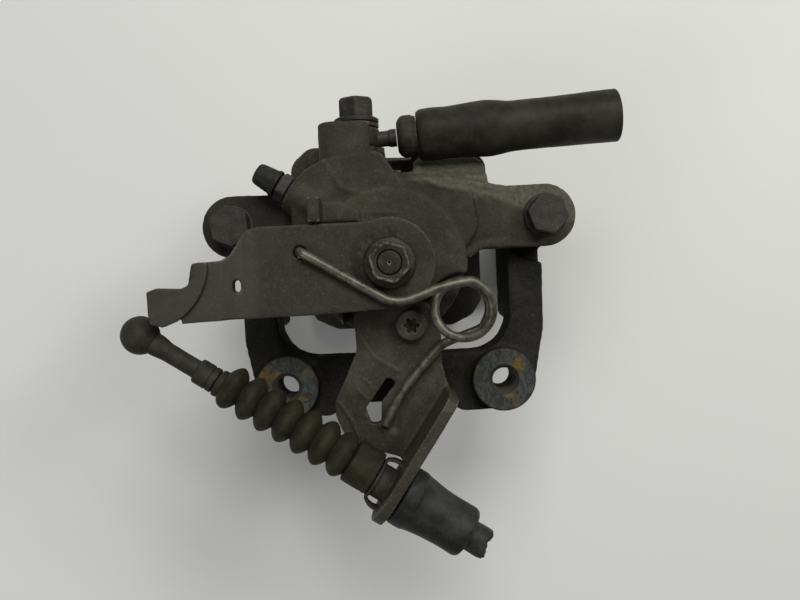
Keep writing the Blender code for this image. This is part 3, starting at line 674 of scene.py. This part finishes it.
nutSteel = wornSteel("nut_steel", {
    "dark": (0.014, 0.0115, 0.006), "middle": (0.029, 0.0248, 0.0145), "worn": (0.17, 0.16, 0.11),
    "grimeAndShade": (0.005, 0.0045, 0.0025), "roughness": 0.38, "metallic": 0.3, "bump": 0.1, "blotch": 4,
    "shine": 0.35, "extra": nutRimHighlight})
springSteel = wornSteel("spring_steel", {
    "dark": (0.065, 0.061, 0.047), "middle": (0.16, 0.152, 0.12), "worn": (0.32, 0.305, 0.25),
    "grimeAndShade": (0.012, 0.011, 0.008), "roughness": 0.30, "metallic": 0.65, "bump": 0.12, "blotch": 3,
    "shine": 0.4})
cableSteel = wornSteel("cable_steel", {
    "dark": (0.022, 0.0205, 0.015), "middle": (0.041, 0.0385, 0.029), "worn": (0.10, 0.096, 0.074),
    "grimeAndShade": (0.007, 0.0065, 0.0045), "roughness": 0.5, "metallic": 0.2, "bump": 0.12, "blotch": 5,
    "shine": 0.22})
groundSteel = wornSteel("ground_steel", {
    "dark": (0.16, 0.155, 0.14), "middle": (0.30, 0.29, 0.27), "worn": (0.42, 0.41, 0.38),
    "grimeAndShade": (0.05, 0.045, 0.035), "roughness": 0.25, "metallic": 0.9, "bump": 0.02, "blotch": 6,
    "shine": 0.5})
copperGasket = wornSteel("copper_gasket", {
    "dark": (0.045, 0.032, 0.02), "middle": (0.085, 0.055, 0.032), "worn": (0.26, 0.16, 0.09),
    "grimeAndShade": (0.015, 0.012, 0.008), "roughness": 0.4, "metallic": 0.5, "bump": 0.03, "blotch": 3,
    "shine": 0.4})
bootRubber = dustyRubber("boot_rubber", {
    "dark": (0.0175, 0.0158, 0.009), "middle": (0.032, 0.0292, 0.0172), "dust": (0.052, 0.0485, 0.031),
    "grimeAndShade": (0.004, 0.0035, 0.0025), "roughness": 0.6, "bump": 0.06, "blotch": 6, "shine": 0.14})
sleeveRubber = dustyRubber("sleeve_rubber", {
    "dark": (0.012, 0.0128, 0.0112), "middle": (0.036, 0.0375, 0.0325), "dust": (0.062, 0.063, 0.052),
    "grimeAndShade": (0.005, 0.005, 0.004), "roughness": 0.5, "bump": 0.06, "blotch": 9, "shine": 0.22})
hoseRubber = dustyRubber("hose_rubber", {
    "dark": (0.0125, 0.0115, 0.0075), "middle": (0.032, 0.029, 0.020), "dust": (0.054, 0.050, 0.036),
    "grimeAndShade": (0.004, 0.0035, 0.0025), "roughness": 0.52, "bump": 0.08, "blotch": 12, "shine": 0.18})
capRubber = dustyRubber("cap_rubber", {
    "dark": (0.013, 0.013, 0.0105), "middle": (0.024, 0.024, 0.019), "dust": (0.045, 0.045, 0.036),
    "grimeAndShade": (0.004, 0.004, 0.003), "roughness": 0.55, "bump": 0.06, "blotch": 5, "shine": 0.18})
braidYarn = dustyRubber("braid_yarn", {
    "dark": (0.035, 0.034, 0.03), "middle": (0.11, 0.105, 0.095), "dust": (0.19, 0.17, 0.14),
    "grimeAndShade": (0.13, 0.045, 0.014), "roughness": 0.75, "bump": 0.04, "blotch": 2, "shine": 0.2})
print("finishes ready")

# the housing casting and the carrier

housing = {
    "voxel": 0.67, "smoothing": 6, "keepSize": 0.85, "sink": 0.02,
    "skin": [(7.0, 0.16), (1.9, 0.07)],
    "marks": [
        ([(10.4, 33.0), (15.3, 29.4), (19.1, 27.4), (25.4, 26.2), (31.8, 25.2), (38.1, 23.4),
          (44.4, 20.9)], 0.8, 0.45, 92),
        ([(-14.1, 21.7), (-11.2, 19.6), (-9.6, 17.1), (-6.0, 17.9), (3.5, 17.2)], 0.6, 0.3, 114),
        ([(-22.0, 36.0), (-16.0, 27.0), (-9.0, 24.8)], 0.9, 0.4, 100),
        ([(-33.0, 13.0), (-30.0, 22.0), (-25.0, 30.0)], 1.4, -0.35, 100),
        ([(24.0, 2.0), (34.0, 8.0), (44.0, 8.5)], 1.2, -0.3, 92)]}
fineCopy("caliper_housing", housing, "caliper", housingIron)
print("housing cast")


# keeps the machined faces of the bosses flat
def mountFaces(local):
    away = np.hypot(np.abs(local[:, 0]) - mount["x"], local[:, 1] - mount["y"])
    return np.clip((mount["radius"] + 1.0 - away) / 0.8, 0, 1) * (local[:, 2] > mount["low"] - 2)


carrier = {
    "voxel": 0.75, "smoothing": 10, "keepSize": 0.8, "sink": 0.05,
    "skin": [(6.0, 0.22), (2.1, 0.10)],
    "marks": [
        ([(47.0, 10.0), (47.4, -20.0), (44.0, -33.0), (30.0, -37.5)], 1.6, 0.35, 80),
        ([(-47.0, 10.0), (-47.4, -20.0), (-44.0, -33.0), (-30.0, -37.5)], 1.6, 0.35, 80)]}
fineCopy("carrier_bracket", carrier, "carrier", carrierIron, mountFaces)


# a machined boss ring with its countersunk thread
def bossRing(name, side):
    hole, depth, pitch = mount["hole"], mount["threadDepth"], mount["pitch"]
    profile = [(mount["radius"] + 0.1, 70.0), (mount["radius"] + 0.1, mount["top"] - 0.5),
               (mount["radius"] - 0.4, mount["top"] + 0.06), (5.75, mount["top"] + 0.06),
               (hole - 0.1, mount["top"] - 0.6)]
    height = mount["top"] - 0.9
    while height > mount["low"] + 1:
        profile += [(hole - depth, height - 0.25), (hole - depth, height - 0.45),
                    (hole - 0.05, height - pitch * 0.62), (hole - 0.05, height - pitch * 0.72)]
        height -= pitch
    profile += [(hole - 0.05, mount["low"] - 0.4), (9.0, mount["low"] - 0.4)]
    bm = aimed(turned(softProfile(profile), 72, ring=True), (side * mount["x"], mount["y"], 0))
    piece(name, bm, "carrier", carrierIron, sharp=25)


bossRing("mount_ring_left", -1)
bossRing("mount_ring_right", 1)
print("carrier cast")

# guide pins' bolts and boots
guide = {"x": 57.5, "y": 15.8, "flat": 13.0, "leftTurn": 0.63, "rightTurn": 0.85, "low": 76.3, "high": 84.7,
         "folds": 3}


def guideBolt(name, replaced, side, turn):
    profile = softProfile([
        (0, 96.35), (7.9, 96.35, 0.3), (7.9, 97.3, 0.4), (7.6, 97.75, 0.2), (7.62, 98.0),
        (7.62, 103.95, 0.1), (7.35, 104.2, 0.1), (0, 104.2)])
    bm = turned(fineProfile(profile, 1.2), 144, shape=hexShape(guide["flat"], turn, 97.8))
    piece(name, aimed(bm, (side * guide["x"], guide["y"], 0)), "caliper", boltSteel,
          [replaced], sharp=28)


def guideBoot(name, replaced, side):
    low, high, folds = guide["low"], guide["high"], guide["folds"]
    outer = []
    for k in range(folds * 16 + 1):
        t = k / (folds * 16)
        fold = abs(sin(pi * folds * t)) ** 0.7
        outer.append((7.15 + 1.35 * fold, low + 1.0 + (high - low - 2.0) * t))
    profile = [(5.4, low), (8.0, low), (8.3, low + 0.4)] + outer
    profile += [(8.3, high - 0.4), (8.0, high), (5.4, high)]
    bm = aimed(turned(profile, 48, ring=True), (side * guide["x"], guide["y"], 0))
    piece(name, bm, "carrier", bootRubber, [replaced],
          blend=("caliper", (0, 0, 76.6), (0, 0, 84.4)))


guideBolt("guide_bolt_head_left", "guide_bolt_left", -1, guide["leftTurn"])
guideBolt("guide_bolt_head_right", "guide_bolt_right", 1, guide["rightTurn"])
guideBoot("guide_bellows_left", "guide_boot_left", -1)
guideBoot("guide_bellows_right", "guide_boot_right", 1)

# the hand-brake lever, its stud, nut and spring
lever = {
    "voxel": 0.42, "smoothing": 12, "keepSize": 0.7, "sink": 0.0, "skin": [(9.0, 0.14), (1.3, 0.03)],
    "marks": [([(-50.4, 13.0), (-50.9, -17.0)], 0.8, 0.22, 119),
              ([(-56.8, 2.2), (-57.4, -17.2)], 0.7, -0.14, 119),
              ([(-30.3, 4.9), (-27.0, 3.0)], 2.6, -0.18, 119)]}
fineCopy("parking_lever", lever, "lever", leverSteel)

nut = {"flat": 13.0, "turn": 0.76}
nutProfile = softProfile([
    (4.15, 122.35), (8.8, 122.35, 0.3), (9.0, 122.9, 0.3), (8.3, 123.5, 0.3), (7.62, 123.8),
    (7.62, 129.4, 0.15), (7.2, 129.95, 0.15), (6.9, 130.0, 0.2), (6.0, 129.75, 0.4), (4.35, 129.7, 0.15),
    (4.15, 129.2)])
piece("lever_nut_head", turned(fineProfile(nutProfile, 1.2), 144, ring=True,
                               shape=hexShape(nut["flat"], nut["turn"], 123.6)),
      "lever", nutSteel, ["lever_nut"], sharp=28)

stud = {"radius": 3.95, "top": 130.05, "pitch": 1.25, "thread": 0.35}


def studProfile(values):
    profile = [(0, 96.1), (10.9, 96.1, 0.4), (10.9, 99.9, 0.4), (6.95, 99.9), (6.95, 116.5, 0.3),
               (4.85, 116.6), (4.85, 122.0, 0.2), (3.9, 122.2)]
    height = 122.6
    while height < 128.9:
        profile += [(values["radius"], height), (values["radius"] - values["thread"], height + 0.6)]
        height += values["pitch"]
    top = values["top"]
    return profile + [(3.9, 129.5), (3.75, top, 0.2), (0.55, top - 0.1, 0.2), (0.2, 129.3), (0, 129.2)]


piece("lever_stud", turned(softProfile(studProfile(stud)), 64), "lever", nutSteel,
      ["lever_shaft"], sharp=40)

spring = {"wire": 1.65, "coilX": 24.6, "coilY": -16.9, "coil": 9.8, "high": 123.95, "low": 106.95,
          "turns": 1.5}


def springPath(values):
    high, low = values["high"], values["low"]
    points = [Vector(p) for p in (
        (-30.3, 4.9, 115.6), (-30.3, 4.9, 119.0), (-30.3, 4.9, 121.6), (-29.9, 4.7, 123.0),
        (-28.6, 3.9, high), (-24.0, 1.2, high), (-14.0, -4.9, high), (-5.0, -10.3, high),
        (-1.6, -12.2, high), (1.6, -13.0, high), (5.0, -12.9, high), (10.0, -11.4, high),
        (16.5, -9.1, high))]
    count = 27
    for k in range(1, count):
        a = radians(100) - 2 * pi * values["turns"] * 0.985 * k / count
        points.append(Vector((values["coilX"] + values["coil"] * cos(a),
                              values["coilY"] + values["coil"] * sin(a), high - (high - low) * k / count)))
    points += [Vector(p) for p in (
        (18.6, -29.0, low), (14.6, -32.2, low), (9.4, -37.8, low), (2.6, -46.1, low), (-1.6, -53.0, low),
        (-3.4, -56.6, low), (-4.0, -58.0, low - 0.2))]
    return smoothLine(points, 5)


def springEnd(t):
    return min(1.0, 0.72 + 40 * min(t, 1 - t))


piece("return_spring_wire", sweep(springPath(spring), spring["wire"], 20, springEnd), "caliper",
      springSteel, ["return_spring"], sharp=50,
      blend=("lever", (10.0, -20.0, 120.0), (-24.0, 6.0, 120.0)))
print("lever, nut and spring made")

# the cable bracket and its screw
bracket = {
    "voxel": 0.5, "smoothing": 10, "keepSize": 0.75, "sink": 0.0, "skin": [(9.0, 0.12), (1.4, 0.03)],
    "marks": [
        ([(-12.4, -25.6), (-10.4, -28.8), (-7.4, -33.4), (-4.6, -35.3), (1.4, -38.9)], 0.5, 0.28, 104),
        ([(-14.2, -42.2), (-14.0, -44.8), (-10.0, -48.8)], 0.5, 0.3, 104),
        ([(-20.6, -49.3), (-16.1, -56.3), (-14.1, -62.2)], 0.5, 0.35, 104),
        ([(-11.6, -41.0), (-7.9, -45.0)], 0.5, 0.28, 104),
        ([(-6.5, -57.8), (-4.7, -60.7), (-3.5, -63.9)], 0.5, 0.3, 104),
        ([(12.5, -38.5), (4.6, -47.4), (0.6, -53.6), (-0.6, -59.0)], 1.7, -0.9, 103.5),
        ([(17.4, -34.0), (15.0, -42.0), (7.0, -52.0), (0.0, -62.0)], 2.6, 0.35, 103.5)]}
fineCopy("cable_bracket", bracket, "caliper", bracketSteel)

screw = {"x": 6.6, "y": -22.3, "star": 2.4, "lobe": 0.55, "socket": (2.7, 3.05), "depth": (105.6, 109.2)}


def screwHead(values):
    outer = [
        (2.6, 105.3), (5.3, 105.32, 0.2), (5.62, 105.7, 0.2), (5.62, 108.2, 0.4), (5.1, 109.0, 0.3),
        (3.4, 109.15, 0.2)]
    profile = fineProfile(softProfile(outer), 0.8) + [(3.0, 109.05), (2.9, 108.8), (2.8, 105.7), (0, 105.5)]

    def star(angle, radius, height):
        inner, outer = values["socket"]
        low, high = values["depth"]
        if inner <= radius <= outer and low <= height <= high:
            return radius / 2.9 * (values["star"] + values["lobe"] * cos(6 * angle))
        return radius
    return aimed(turned(profile, 96, shape=star), (values["x"], values["y"], 0))


piece("bracket_screw_head", screwHead(screw), "caliper", screwSteel, ["bracket_screw"],
      sharp=35)
print("cable bracket made")

# the hose union: hollow bolt, eye, ferrule, hose and its sleeve
inlet = {"x": -10.8, "z": 90.0, "flat": 12.2, "turn": 0.52}


def onInlet(bm):
    return aimed(bm, (inlet["x"], 0, inlet["z"]), (0, 1, 0))


unionProfile = softProfile([
    (4.2, 30.0), (4.8, 31.0), (4.8, 53.0), (8.3, 53.02, 0.25), (8.4, 54.4, 0.35), (7.4, 54.9, 0.2),
    (7.1, 55.1), (7.1, 61.2, 0.2), (6.5, 62.0, 0.3), (5.7, 62.4, 0.2), (4.6, 62.25, 0.3), (4.2, 62.0),
    (0, 62.0)])
piece("union_bolt", onInlet(turned(fineProfile(unionProfile, 1.2), 144,
                                   shape=hexShape(inlet["flat"], inlet["turn"], 55.0))),
      "caliper", boltSteel, ["banjo_bolt"], sharp=28)

hose = {"start": (4.2, 47.3, 90.0), "slope": 0.061, "length": 75.0, "strands": 46, "crimps": 8,
        "crimpDepth": 0.16}
hoseAxis = Vector((1.0, hose["slope"], 0.0)).normalized()
hoseStart = Vector(hose["start"])


def onHose(bm):
    return aimed(bm, hoseStart, hoseAxis)


eyeProfile = softProfile([
    (5.1, 43.9), (7.9, 43.9, 0.5), (8.4, 44.6, 0.5), (8.4, 50.2, 0.5), (7.9, 50.9, 0.5), (5.1, 50.9)])
pipeProfile = fineProfile(softProfile([
    (0, -7.4), (2.9, -7.4), (2.9, -3.4, 0.4), (3.3, -2.6, 0.4), (3.3, -0.2), (0, -0.2)]), 1.0)
piece("union_eye", joined(onInlet(turned(eyeProfile, 72, ring=True)), onHose(turned(pipeProfile, 40))),
      "caliper", boltSteel, ["hose_fitting"], sharp=35)


def crimp(angle, radius, height):
    pressed = max(0, cos(hose["crimps"] * angle)) ** 6
    return radius - hose["crimpDepth"] * pressed if radius > 7 else radius


ferruleProfile = softProfile([
    (3.4, 0.05), (5.4, 0.05, 0.6), (7.2, 1.2, 0.9), (7.9, 2.6, 0.6), (7.9, 5.6, 0.4), (7.4, 6.2, 0.4),
    (7.3, 7.2), (3.4, 7.2)])
piece("hose_crimp", onHose(turned(fineProfile(ferruleProfile, 1.0), 96, ring=True, shape=crimp)), "caliper",
      cableSteel, ["hose_ferrule"])


# the sleeve sags a little between its bulges
def sleeveShape(angle, radius, height):
    dents = dent(angle, height, 0.8, 0.06) * 0.28 + dent(angle, height, 3, 0.35) * 0.06
    return radius + dents * min(1.0, abs(height - 7.6) * 0.25)


hoseEnd = hose["length"] + 7.6
sleeveOuter = softProfile([
    (7.3, 7.62), (8.5, 7.62, 0.3), (9.55, 9.0, 1.2), (9.85, 12.5, 2.0), (9.45, 20.5, 4.0),
    (10.1, 28.0, 3.0), (10.5, 34.0, 3.0), (9.9, 38.5, 2.5), (9.2, 42.5, 3.0), (9.3, 55.0, 5.0),
    (9.6, 70.0, 5.0), (9.7, hoseEnd - 0.3, 0.3), (9.4, hoseEnd, 0.2), (8.1, hoseEnd, 0.2),
    (7.9, hoseEnd - 0.5), (7.9, hoseEnd - 5.0), (7.3, hoseEnd - 6.0)], 6)
piece("hose_sleeve_skin", onHose(turned(fineProfile(sleeveOuter, 1.2), 96, ring=True, shape=sleeveShape)),
      "caliper", hoseRubber, ["hose_sleeve"], sharp=45)


# tears the end of a cut tube between two levels; grain is how close its teeth are
def ragged(bm, low, high, size, seed, grain):
    for v in bm.verts:
        t = min(1.0, max(0.0, (v.co.z - low) / (high - low)))
        if t > 0:
            place = Vector((v.co.x * grain, v.co.y * grain, seed))
            v.co.z += t * size * (noise.noise(place) + 0.4 * noise.noise(place * 2.7))
            v.co.x *= 1 + 0.05 * t * noise.noise(place * 1.7 + Vector((3, 0, 0)))
            v.co.y *= 1 + 0.05 * t * noise.noise(place * 1.7 + Vector((0, 3, 0)))
    return bm


tubeProfile = fineProfile([
    (1.8, 7.7), (6.9, 7.7), (7.1, 9.0), (7.1, hoseEnd - 1.6), (6.7, hoseEnd - 1.0), (5.0, hoseEnd - 0.9),
    (4.2, hoseEnd - 1.5), (2.4, hoseEnd - 1.2), (1.8, hoseEnd - 1.5)], 0.9)
tubeForm = ragged(turned(tubeProfile, 56, ring=True), hoseEnd - 3, hoseEnd - 0.8, 1.1, 1.3, 0.9)
piece("hose_tube", onHose(tubeForm), "caliper", hoseRubber, ["brake_hose"], sharp=45)


# braid strands that stand out of the cut
def strands(values):
    draw = random.Random(11)
    forms = []
    for k in range(values["strands"]):
        a = draw.uniform(0, 2 * pi)
        r = draw.choice((5.6, 5.9, 6.4)) + draw.uniform(-0.4, 0.4)
        out = Vector((cos(a), sin(a), 0))
        side = Vector((-out.y, out.x, 0))
        base = out * r + Vector((0, 0, hoseEnd - 2.0))
        length = draw.uniform(0.9, 2.4)
        points = [base]
        for step in (0.35, 0.7, 1.0):
            bend = step * step * draw.uniform(-0.9, 0.9)
            points.append(base + Vector((0, 0, 1)) * (0.9 + length * step * 0.8)
                          + out * draw.uniform(-0.5, 0.7) * step * length + side * bend * length)
        forms.append(sweep(smoothLine(points, 3), draw.uniform(0.13, 0.24), 6, lambda t: 1 - 0.55 * t))
    return onHose(joined(*forms))


piece("hose_braid", strands(hose), "caliper", braidYarn, sharp=60)
print("hose made")

# the bleed screw and its cap
bleed = {"start": (-35.3, 27.4, 102.0), "flat": 9.6, "turn": 0.14}
bleedAxis = Vector((-0.847, 0.531, 0.0)).normalized()


def onBleed(bm):
    return aimed(bm, bleed["start"], bleedAxis)


bleedProfile = softProfile([
    (0, -11.0), (3.2, -11.0), (3.8, -9.5), (3.8, 0.3), (5.0, 0.3, 0.2), (5.6, 0.8, 0.2), (5.6, 3.9, 0.2),
    (5.0, 4.5, 0.2), (2.75, 4.6), (2.75, 10.4, 0.4), (2.0, 11.3), (0, 11.3)])
piece("bleed_hexagon", onBleed(turned(fineProfile(bleedProfile, 1.0), 144,
                                      shape=hexShape(bleed["flat"], bleed["turn"], 0.2))),
      "bleeder", boltSteel, ["bleed_screw"], sharp=28)


def capShape(angle, radius, height):
    return radius - (0.14 * max(0, cos(10 * angle)) ** 4 if height > 7.2 and radius > 3.2 else 0)


capProfile = softProfile([
    (0, 11.7), (3.0, 11.7), (3.0, 4.95), (4.9, 4.95, 0.3), (5.1, 5.4, 0.3), (5.1, 6.2, 0.4),
    (4.6, 6.9, 0.4), (4.5, 8.6), (4.05, 12.6, 0.5), (3.5, 13.8, 0.7), (0, 13.9)])
piece("bleed_cap_skin", onBleed(turned(fineProfile(capProfile, 0.9), 80, shape=capShape)), "bleeder",
      capRubber, ["bleed_cap"])

# the hand-brake cable: ball end, collar, bellows, clip, sleeve and sheath
cable = {"ball": (-86.9, -21.5, 117.0), "folds": 7, "first": 36.6, "pitch": 7.35, "crown": 7.95,
         "grow": 0.08, "valley": 3.9, "valleyGrow": 0.12, "lean": 1.1, "leanFrom": 31, "leanOver": 7}
cableAxis = Vector((0.8325, -0.554, 0.0)).normalized()
cableSide = Vector((-cableAxis.y, cableAxis.x, 0.0))


# a point on the cable's axis, that far from the middle of its ball
def cablePoint(distance):
    return Vector(cable["ball"]) + cableAxis * distance


def onCable(bm):
    return aimed(bm, cable["ball"], cableAxis)


def ballShape(angle, radius, height):
    return radius + dent(angle, height, 1, 0.2) * 0.12 if radius > 0.5 and height < 40 else radius


ballProfile = [(6.7 * sin(pi * k / 30), -6.7 * cos(pi * k / 30)) for k in range(0, 25)]
ballProfile[0] = (0, -6.7)
ballProfile += softProfile([(4.0, 5.6), (4.0, 6.6, 0.5), (3.7, 9.0, 1.0), (3.3, 11.0, 1.0), (3.25, 39.4, 0.5),
                            (2.6, 40.4), (0, 40.8)])
piece("cable_ball_end", onCable(turned(fineProfile(ballProfile, 1.0), 64, shape=ballShape)), "cable",
      cableSteel, ["cable_end"], sharp=40)
collarProfile = softProfile([
    (3.45, 22.9), (4.1, 22.9, 0.3), (4.5, 23.6, 0.3), (4.5, 27.9, 0.15), (4.2, 28.1), (4.2, 28.4),
    (4.5, 28.6, 0.15), (4.5, 30.4, 0.2), (3.45, 30.4)])
piece("cable_collar_band", onCable(turned(fineProfile(collarProfile, 0.8), 56, ring=True)), "cable",
      cableSteel, ["cable_collar"])


def bellows(values):
    outer = [(4.3, 30.9), (4.75, 31.2), (4.95, 31.8), (4.9, 32.6)]
    for k in range(values["folds"]):
        middle = values["first"] + values["pitch"] * k
        crown = values["crown"] + values["grow"] * k
        valley = values["valley"] + values["valleyGrow"] * k
        half = values["pitch"] / 2
        for j in range(-9, 10):
            t = j / 9.6
            bulge = (1 - abs(t) ** 1.75) ** 0.7
            outer.append((valley + (crown - valley) * bulge, middle + half * t))
    big = [
        (6.2, 84.0), (7.6, 84.4, 0.4), (7.85, 84.9, 0.4), (7.85, 91.8, 0.3), (7.7, 92.1, 0.2),
        (7.85, 92.4, 0.3), (7.85, 93.6, 0.3), (7.5, 94.0), (3.8, 94.0)]
    return [(3.8, 30.9)] + outer + softProfile(big)


def bellowsShape(angle, radius, height):
    if height > 84 or radius < 4:
        return radius
    return radius + dent(angle, height, 0.7, 0.11) * 0.22


# the bellows sit a little to one side of the axis, except where they grip the collar
def leaned(bm):
    for v in bm.verts:
        reached = (v.co - Vector(cable["ball"])).dot(cableAxis)
        t = min(1.0, max(0.0, (reached - cable["leanFrom"]) / cable["leanOver"]))
        v.co += cableSide * (cable["lean"] * t * t * (3 - 2 * t))
    return bm


bellowsForm = turned(fineProfile(bellows(cable), 1.0), 72, ring=True, shape=bellowsShape)
piece("cable_bellows", leaned(onCable(bellowsForm)), "caliper", bootRubber, ["cable_boot"],
      sharp=50, blend=("cable", cablePoint(83), cablePoint(32)))

clip = {"core": 6.1, "front": 7.3, "rim": 8.7, "bow": 1.1, "thick": 1.0, "width": 2.1, "start": 94.8,
        "reach": 6.2, "steps": 14}


# the spring clip is a drum with a bowed finger standing off each side of it
def cableClip(values):
    core, front, rim, thick = values["core"], values["front"], values["rim"], values["thick"]
    drum = softProfile([
        (3.4, 94.4), (front, 94.4, 0.3), (front, 95.5, 0.3), (core, 95.7, 0.3), (core, 100.4, 0.3),
        (rim, 100.6, 0.2), (rim, 101.4, 0.3), (8.0, 101.6), (8.0, 104.8), (3.4, 104.8)])
    forms = [onCable(turned(fineProfile(drum, 0.8), 72, ring=True))]
    for way in (-1, 1):
        bm, rings = bmesh.new(), []
        for k in range(values["steps"] + 1):
            t = k / values["steps"]
            out = front - 0.5 + (rim + 0.1 - front) * t
            out += values["bow"] * sin(pi * t) * (1 - 0.4 * t)
            place = cablePoint(values["start"] + values["reach"] * t)
            wide = values["width"] * (0.8 + 0.5 * t)
            rings.append([bm.verts.new(place + cableSide * (way * (out + lift)) + Vector((0, 0, wide * up)))
                          for lift, up in ((0, -1), (thick, -0.9), (thick, 0.9), (0, 1))])
        for a, b in zip(rings, rings[1:]):
            for k in range(4):
                bm.faces.new((a[k], a[(k + 1) % 4], b[(k + 1) % 4], b[k]))
        bm.faces.new(rings[0])
        bm.faces.new(reversed(rings[-1]))
        bmesh.ops.recalc_face_normals(bm, faces=bm.faces)
        forms.append(bm)
    return joined(*forms)


piece("cable_clip_surface", cableClip(clip), "caliper", cableSteel, ["cable_clip"], sharp=35)


def sleeveSkin(angle, radius, height):
    if radius < 6:
        return radius
    return radius + dent(angle, height, 1, 0.12) * 0.2 * min(1, abs(height - 105) * 0.2)


sleeveProfile = softProfile([
    (5.5, 105.15), (10.2, 105.15, 0.3), (10.75, 105.8, 0.5), (10.8, 110.2, 0.8), (10.4, 111.2, 0.5),
    (10.1, 113.0, 1.5), (9.3, 117.5, 2.0), (9.05, 122.0, 2.0), (9.1, 130.8, 0.8), (8.4, 132.1, 0.5),
    (5.5, 132.2)], 6)
piece("cable_sleeve_skin", onCable(turned(fineProfile(sleeveProfile, 1.0), 80, ring=True, shape=sleeveSkin)),
      "caliper", sleeveRubber, ["cable_sleeve"], sharp=45)
sheathProfile = fineProfile([
    (1.8, 105.4), (5.4, 105.4), (5.4, 138.6), (5.2, 139.6), (4.2, 139.7), (3.0, 139.2), (2.2, 139.4),
    (1.8, 138.8)], 0.7)
sheathForm = ragged(turned(sheathProfile, 72, ring=True), 134, 139.5, 1.7, 7.7, 0.3)
piece("cable_sheath_end", onCable(sheathForm), "caliper", sleeveRubber, ["cable_sheath"], sharp=45)
print("cable made")

# pieces inside the cylinder
dustProfile = softProfile([
    (19.6, 59.4), (21.35, 59.4, 0.3), (21.35, 57.2, 0.6), (20.7, 55.3, 0.8), (19.5, 53.9, 0.6),
    (17.45, 53.85, 0.2), (17.45, 54.75, 0.2), (19.2, 54.95, 0.5), (19.7, 56.8, 0.5)], 5)
piece("piston_dust_bellows", turned(dustProfile, 72, ring=True), "caliper", bootRubber,
      ["piston_dust_boot"], blend=("piston", (0, 0, 58.8), (0, 0, 54.6)))
pistonSeal = softProfile([(19.05, 66.35), (21.1, 66.35, 0.3), (21.1, 69.1, 0.3), (19.05, 69.1)])
piece("piston_seal_ring", turned(pistonSeal, 72, ring=True), "caliper", capRubber, ["piston_seal"])
shaftSeal = softProfile([
    (7.15, 111.25), (9.95, 111.25, 0.2), (9.95, 114.5, 0.3), (8.6, 114.5, 0.2), (8.0, 113.9, 0.2),
    (7.15, 114.4)])
piece("shaft_seal_ring", turned(shaftSeal, 64, ring=True), "caliper", capRubber, ["shaft_seal"])

adjuster = {"turns": 4, "steps": 24, "coil": 9.4, "low": 75.3, "rise": 12.1, "wire": 0.8}


def adjusterPath(values):
    points = []
    total = values["turns"] * values["steps"]
    for k in range(total + 1):
        a = 2 * pi * k / values["steps"]
        points.append(Vector((values["coil"] * cos(a), values["coil"] * sin(a),
                              values["low"] + values["rise"] * k / total)))
    return points


piece("adjuster_spring_wire", sweep(adjusterPath(adjuster), adjuster["wire"], 10), "caliper",
      springSteel, ["adjuster_spring"], blend=("spindle", (0, 0, 75.5), (0, 0, 87.2)))
print("inner pieces made")

# the CAD's own nodes that have no fine piece
nodePaint = {
    "housing_casting": housingIron, "carrier_casting": carrierIron, "fastener_steel": boltSteel,
    "ground_steel": groundSteel, "pressed_steel": bracketSteel, "spring_steel": springSteel,
    "bearing_bronze": copperGasket, "sealing_copper": copperGasket, "rubber": bootRubber}
for entry in frame["record"]["subparts"]:
    mesh = frame["nodes"][entry["node"]].data
    mesh.materials.clear()
    mesh.materials.append(nodePaint[entry["material_slot"]])
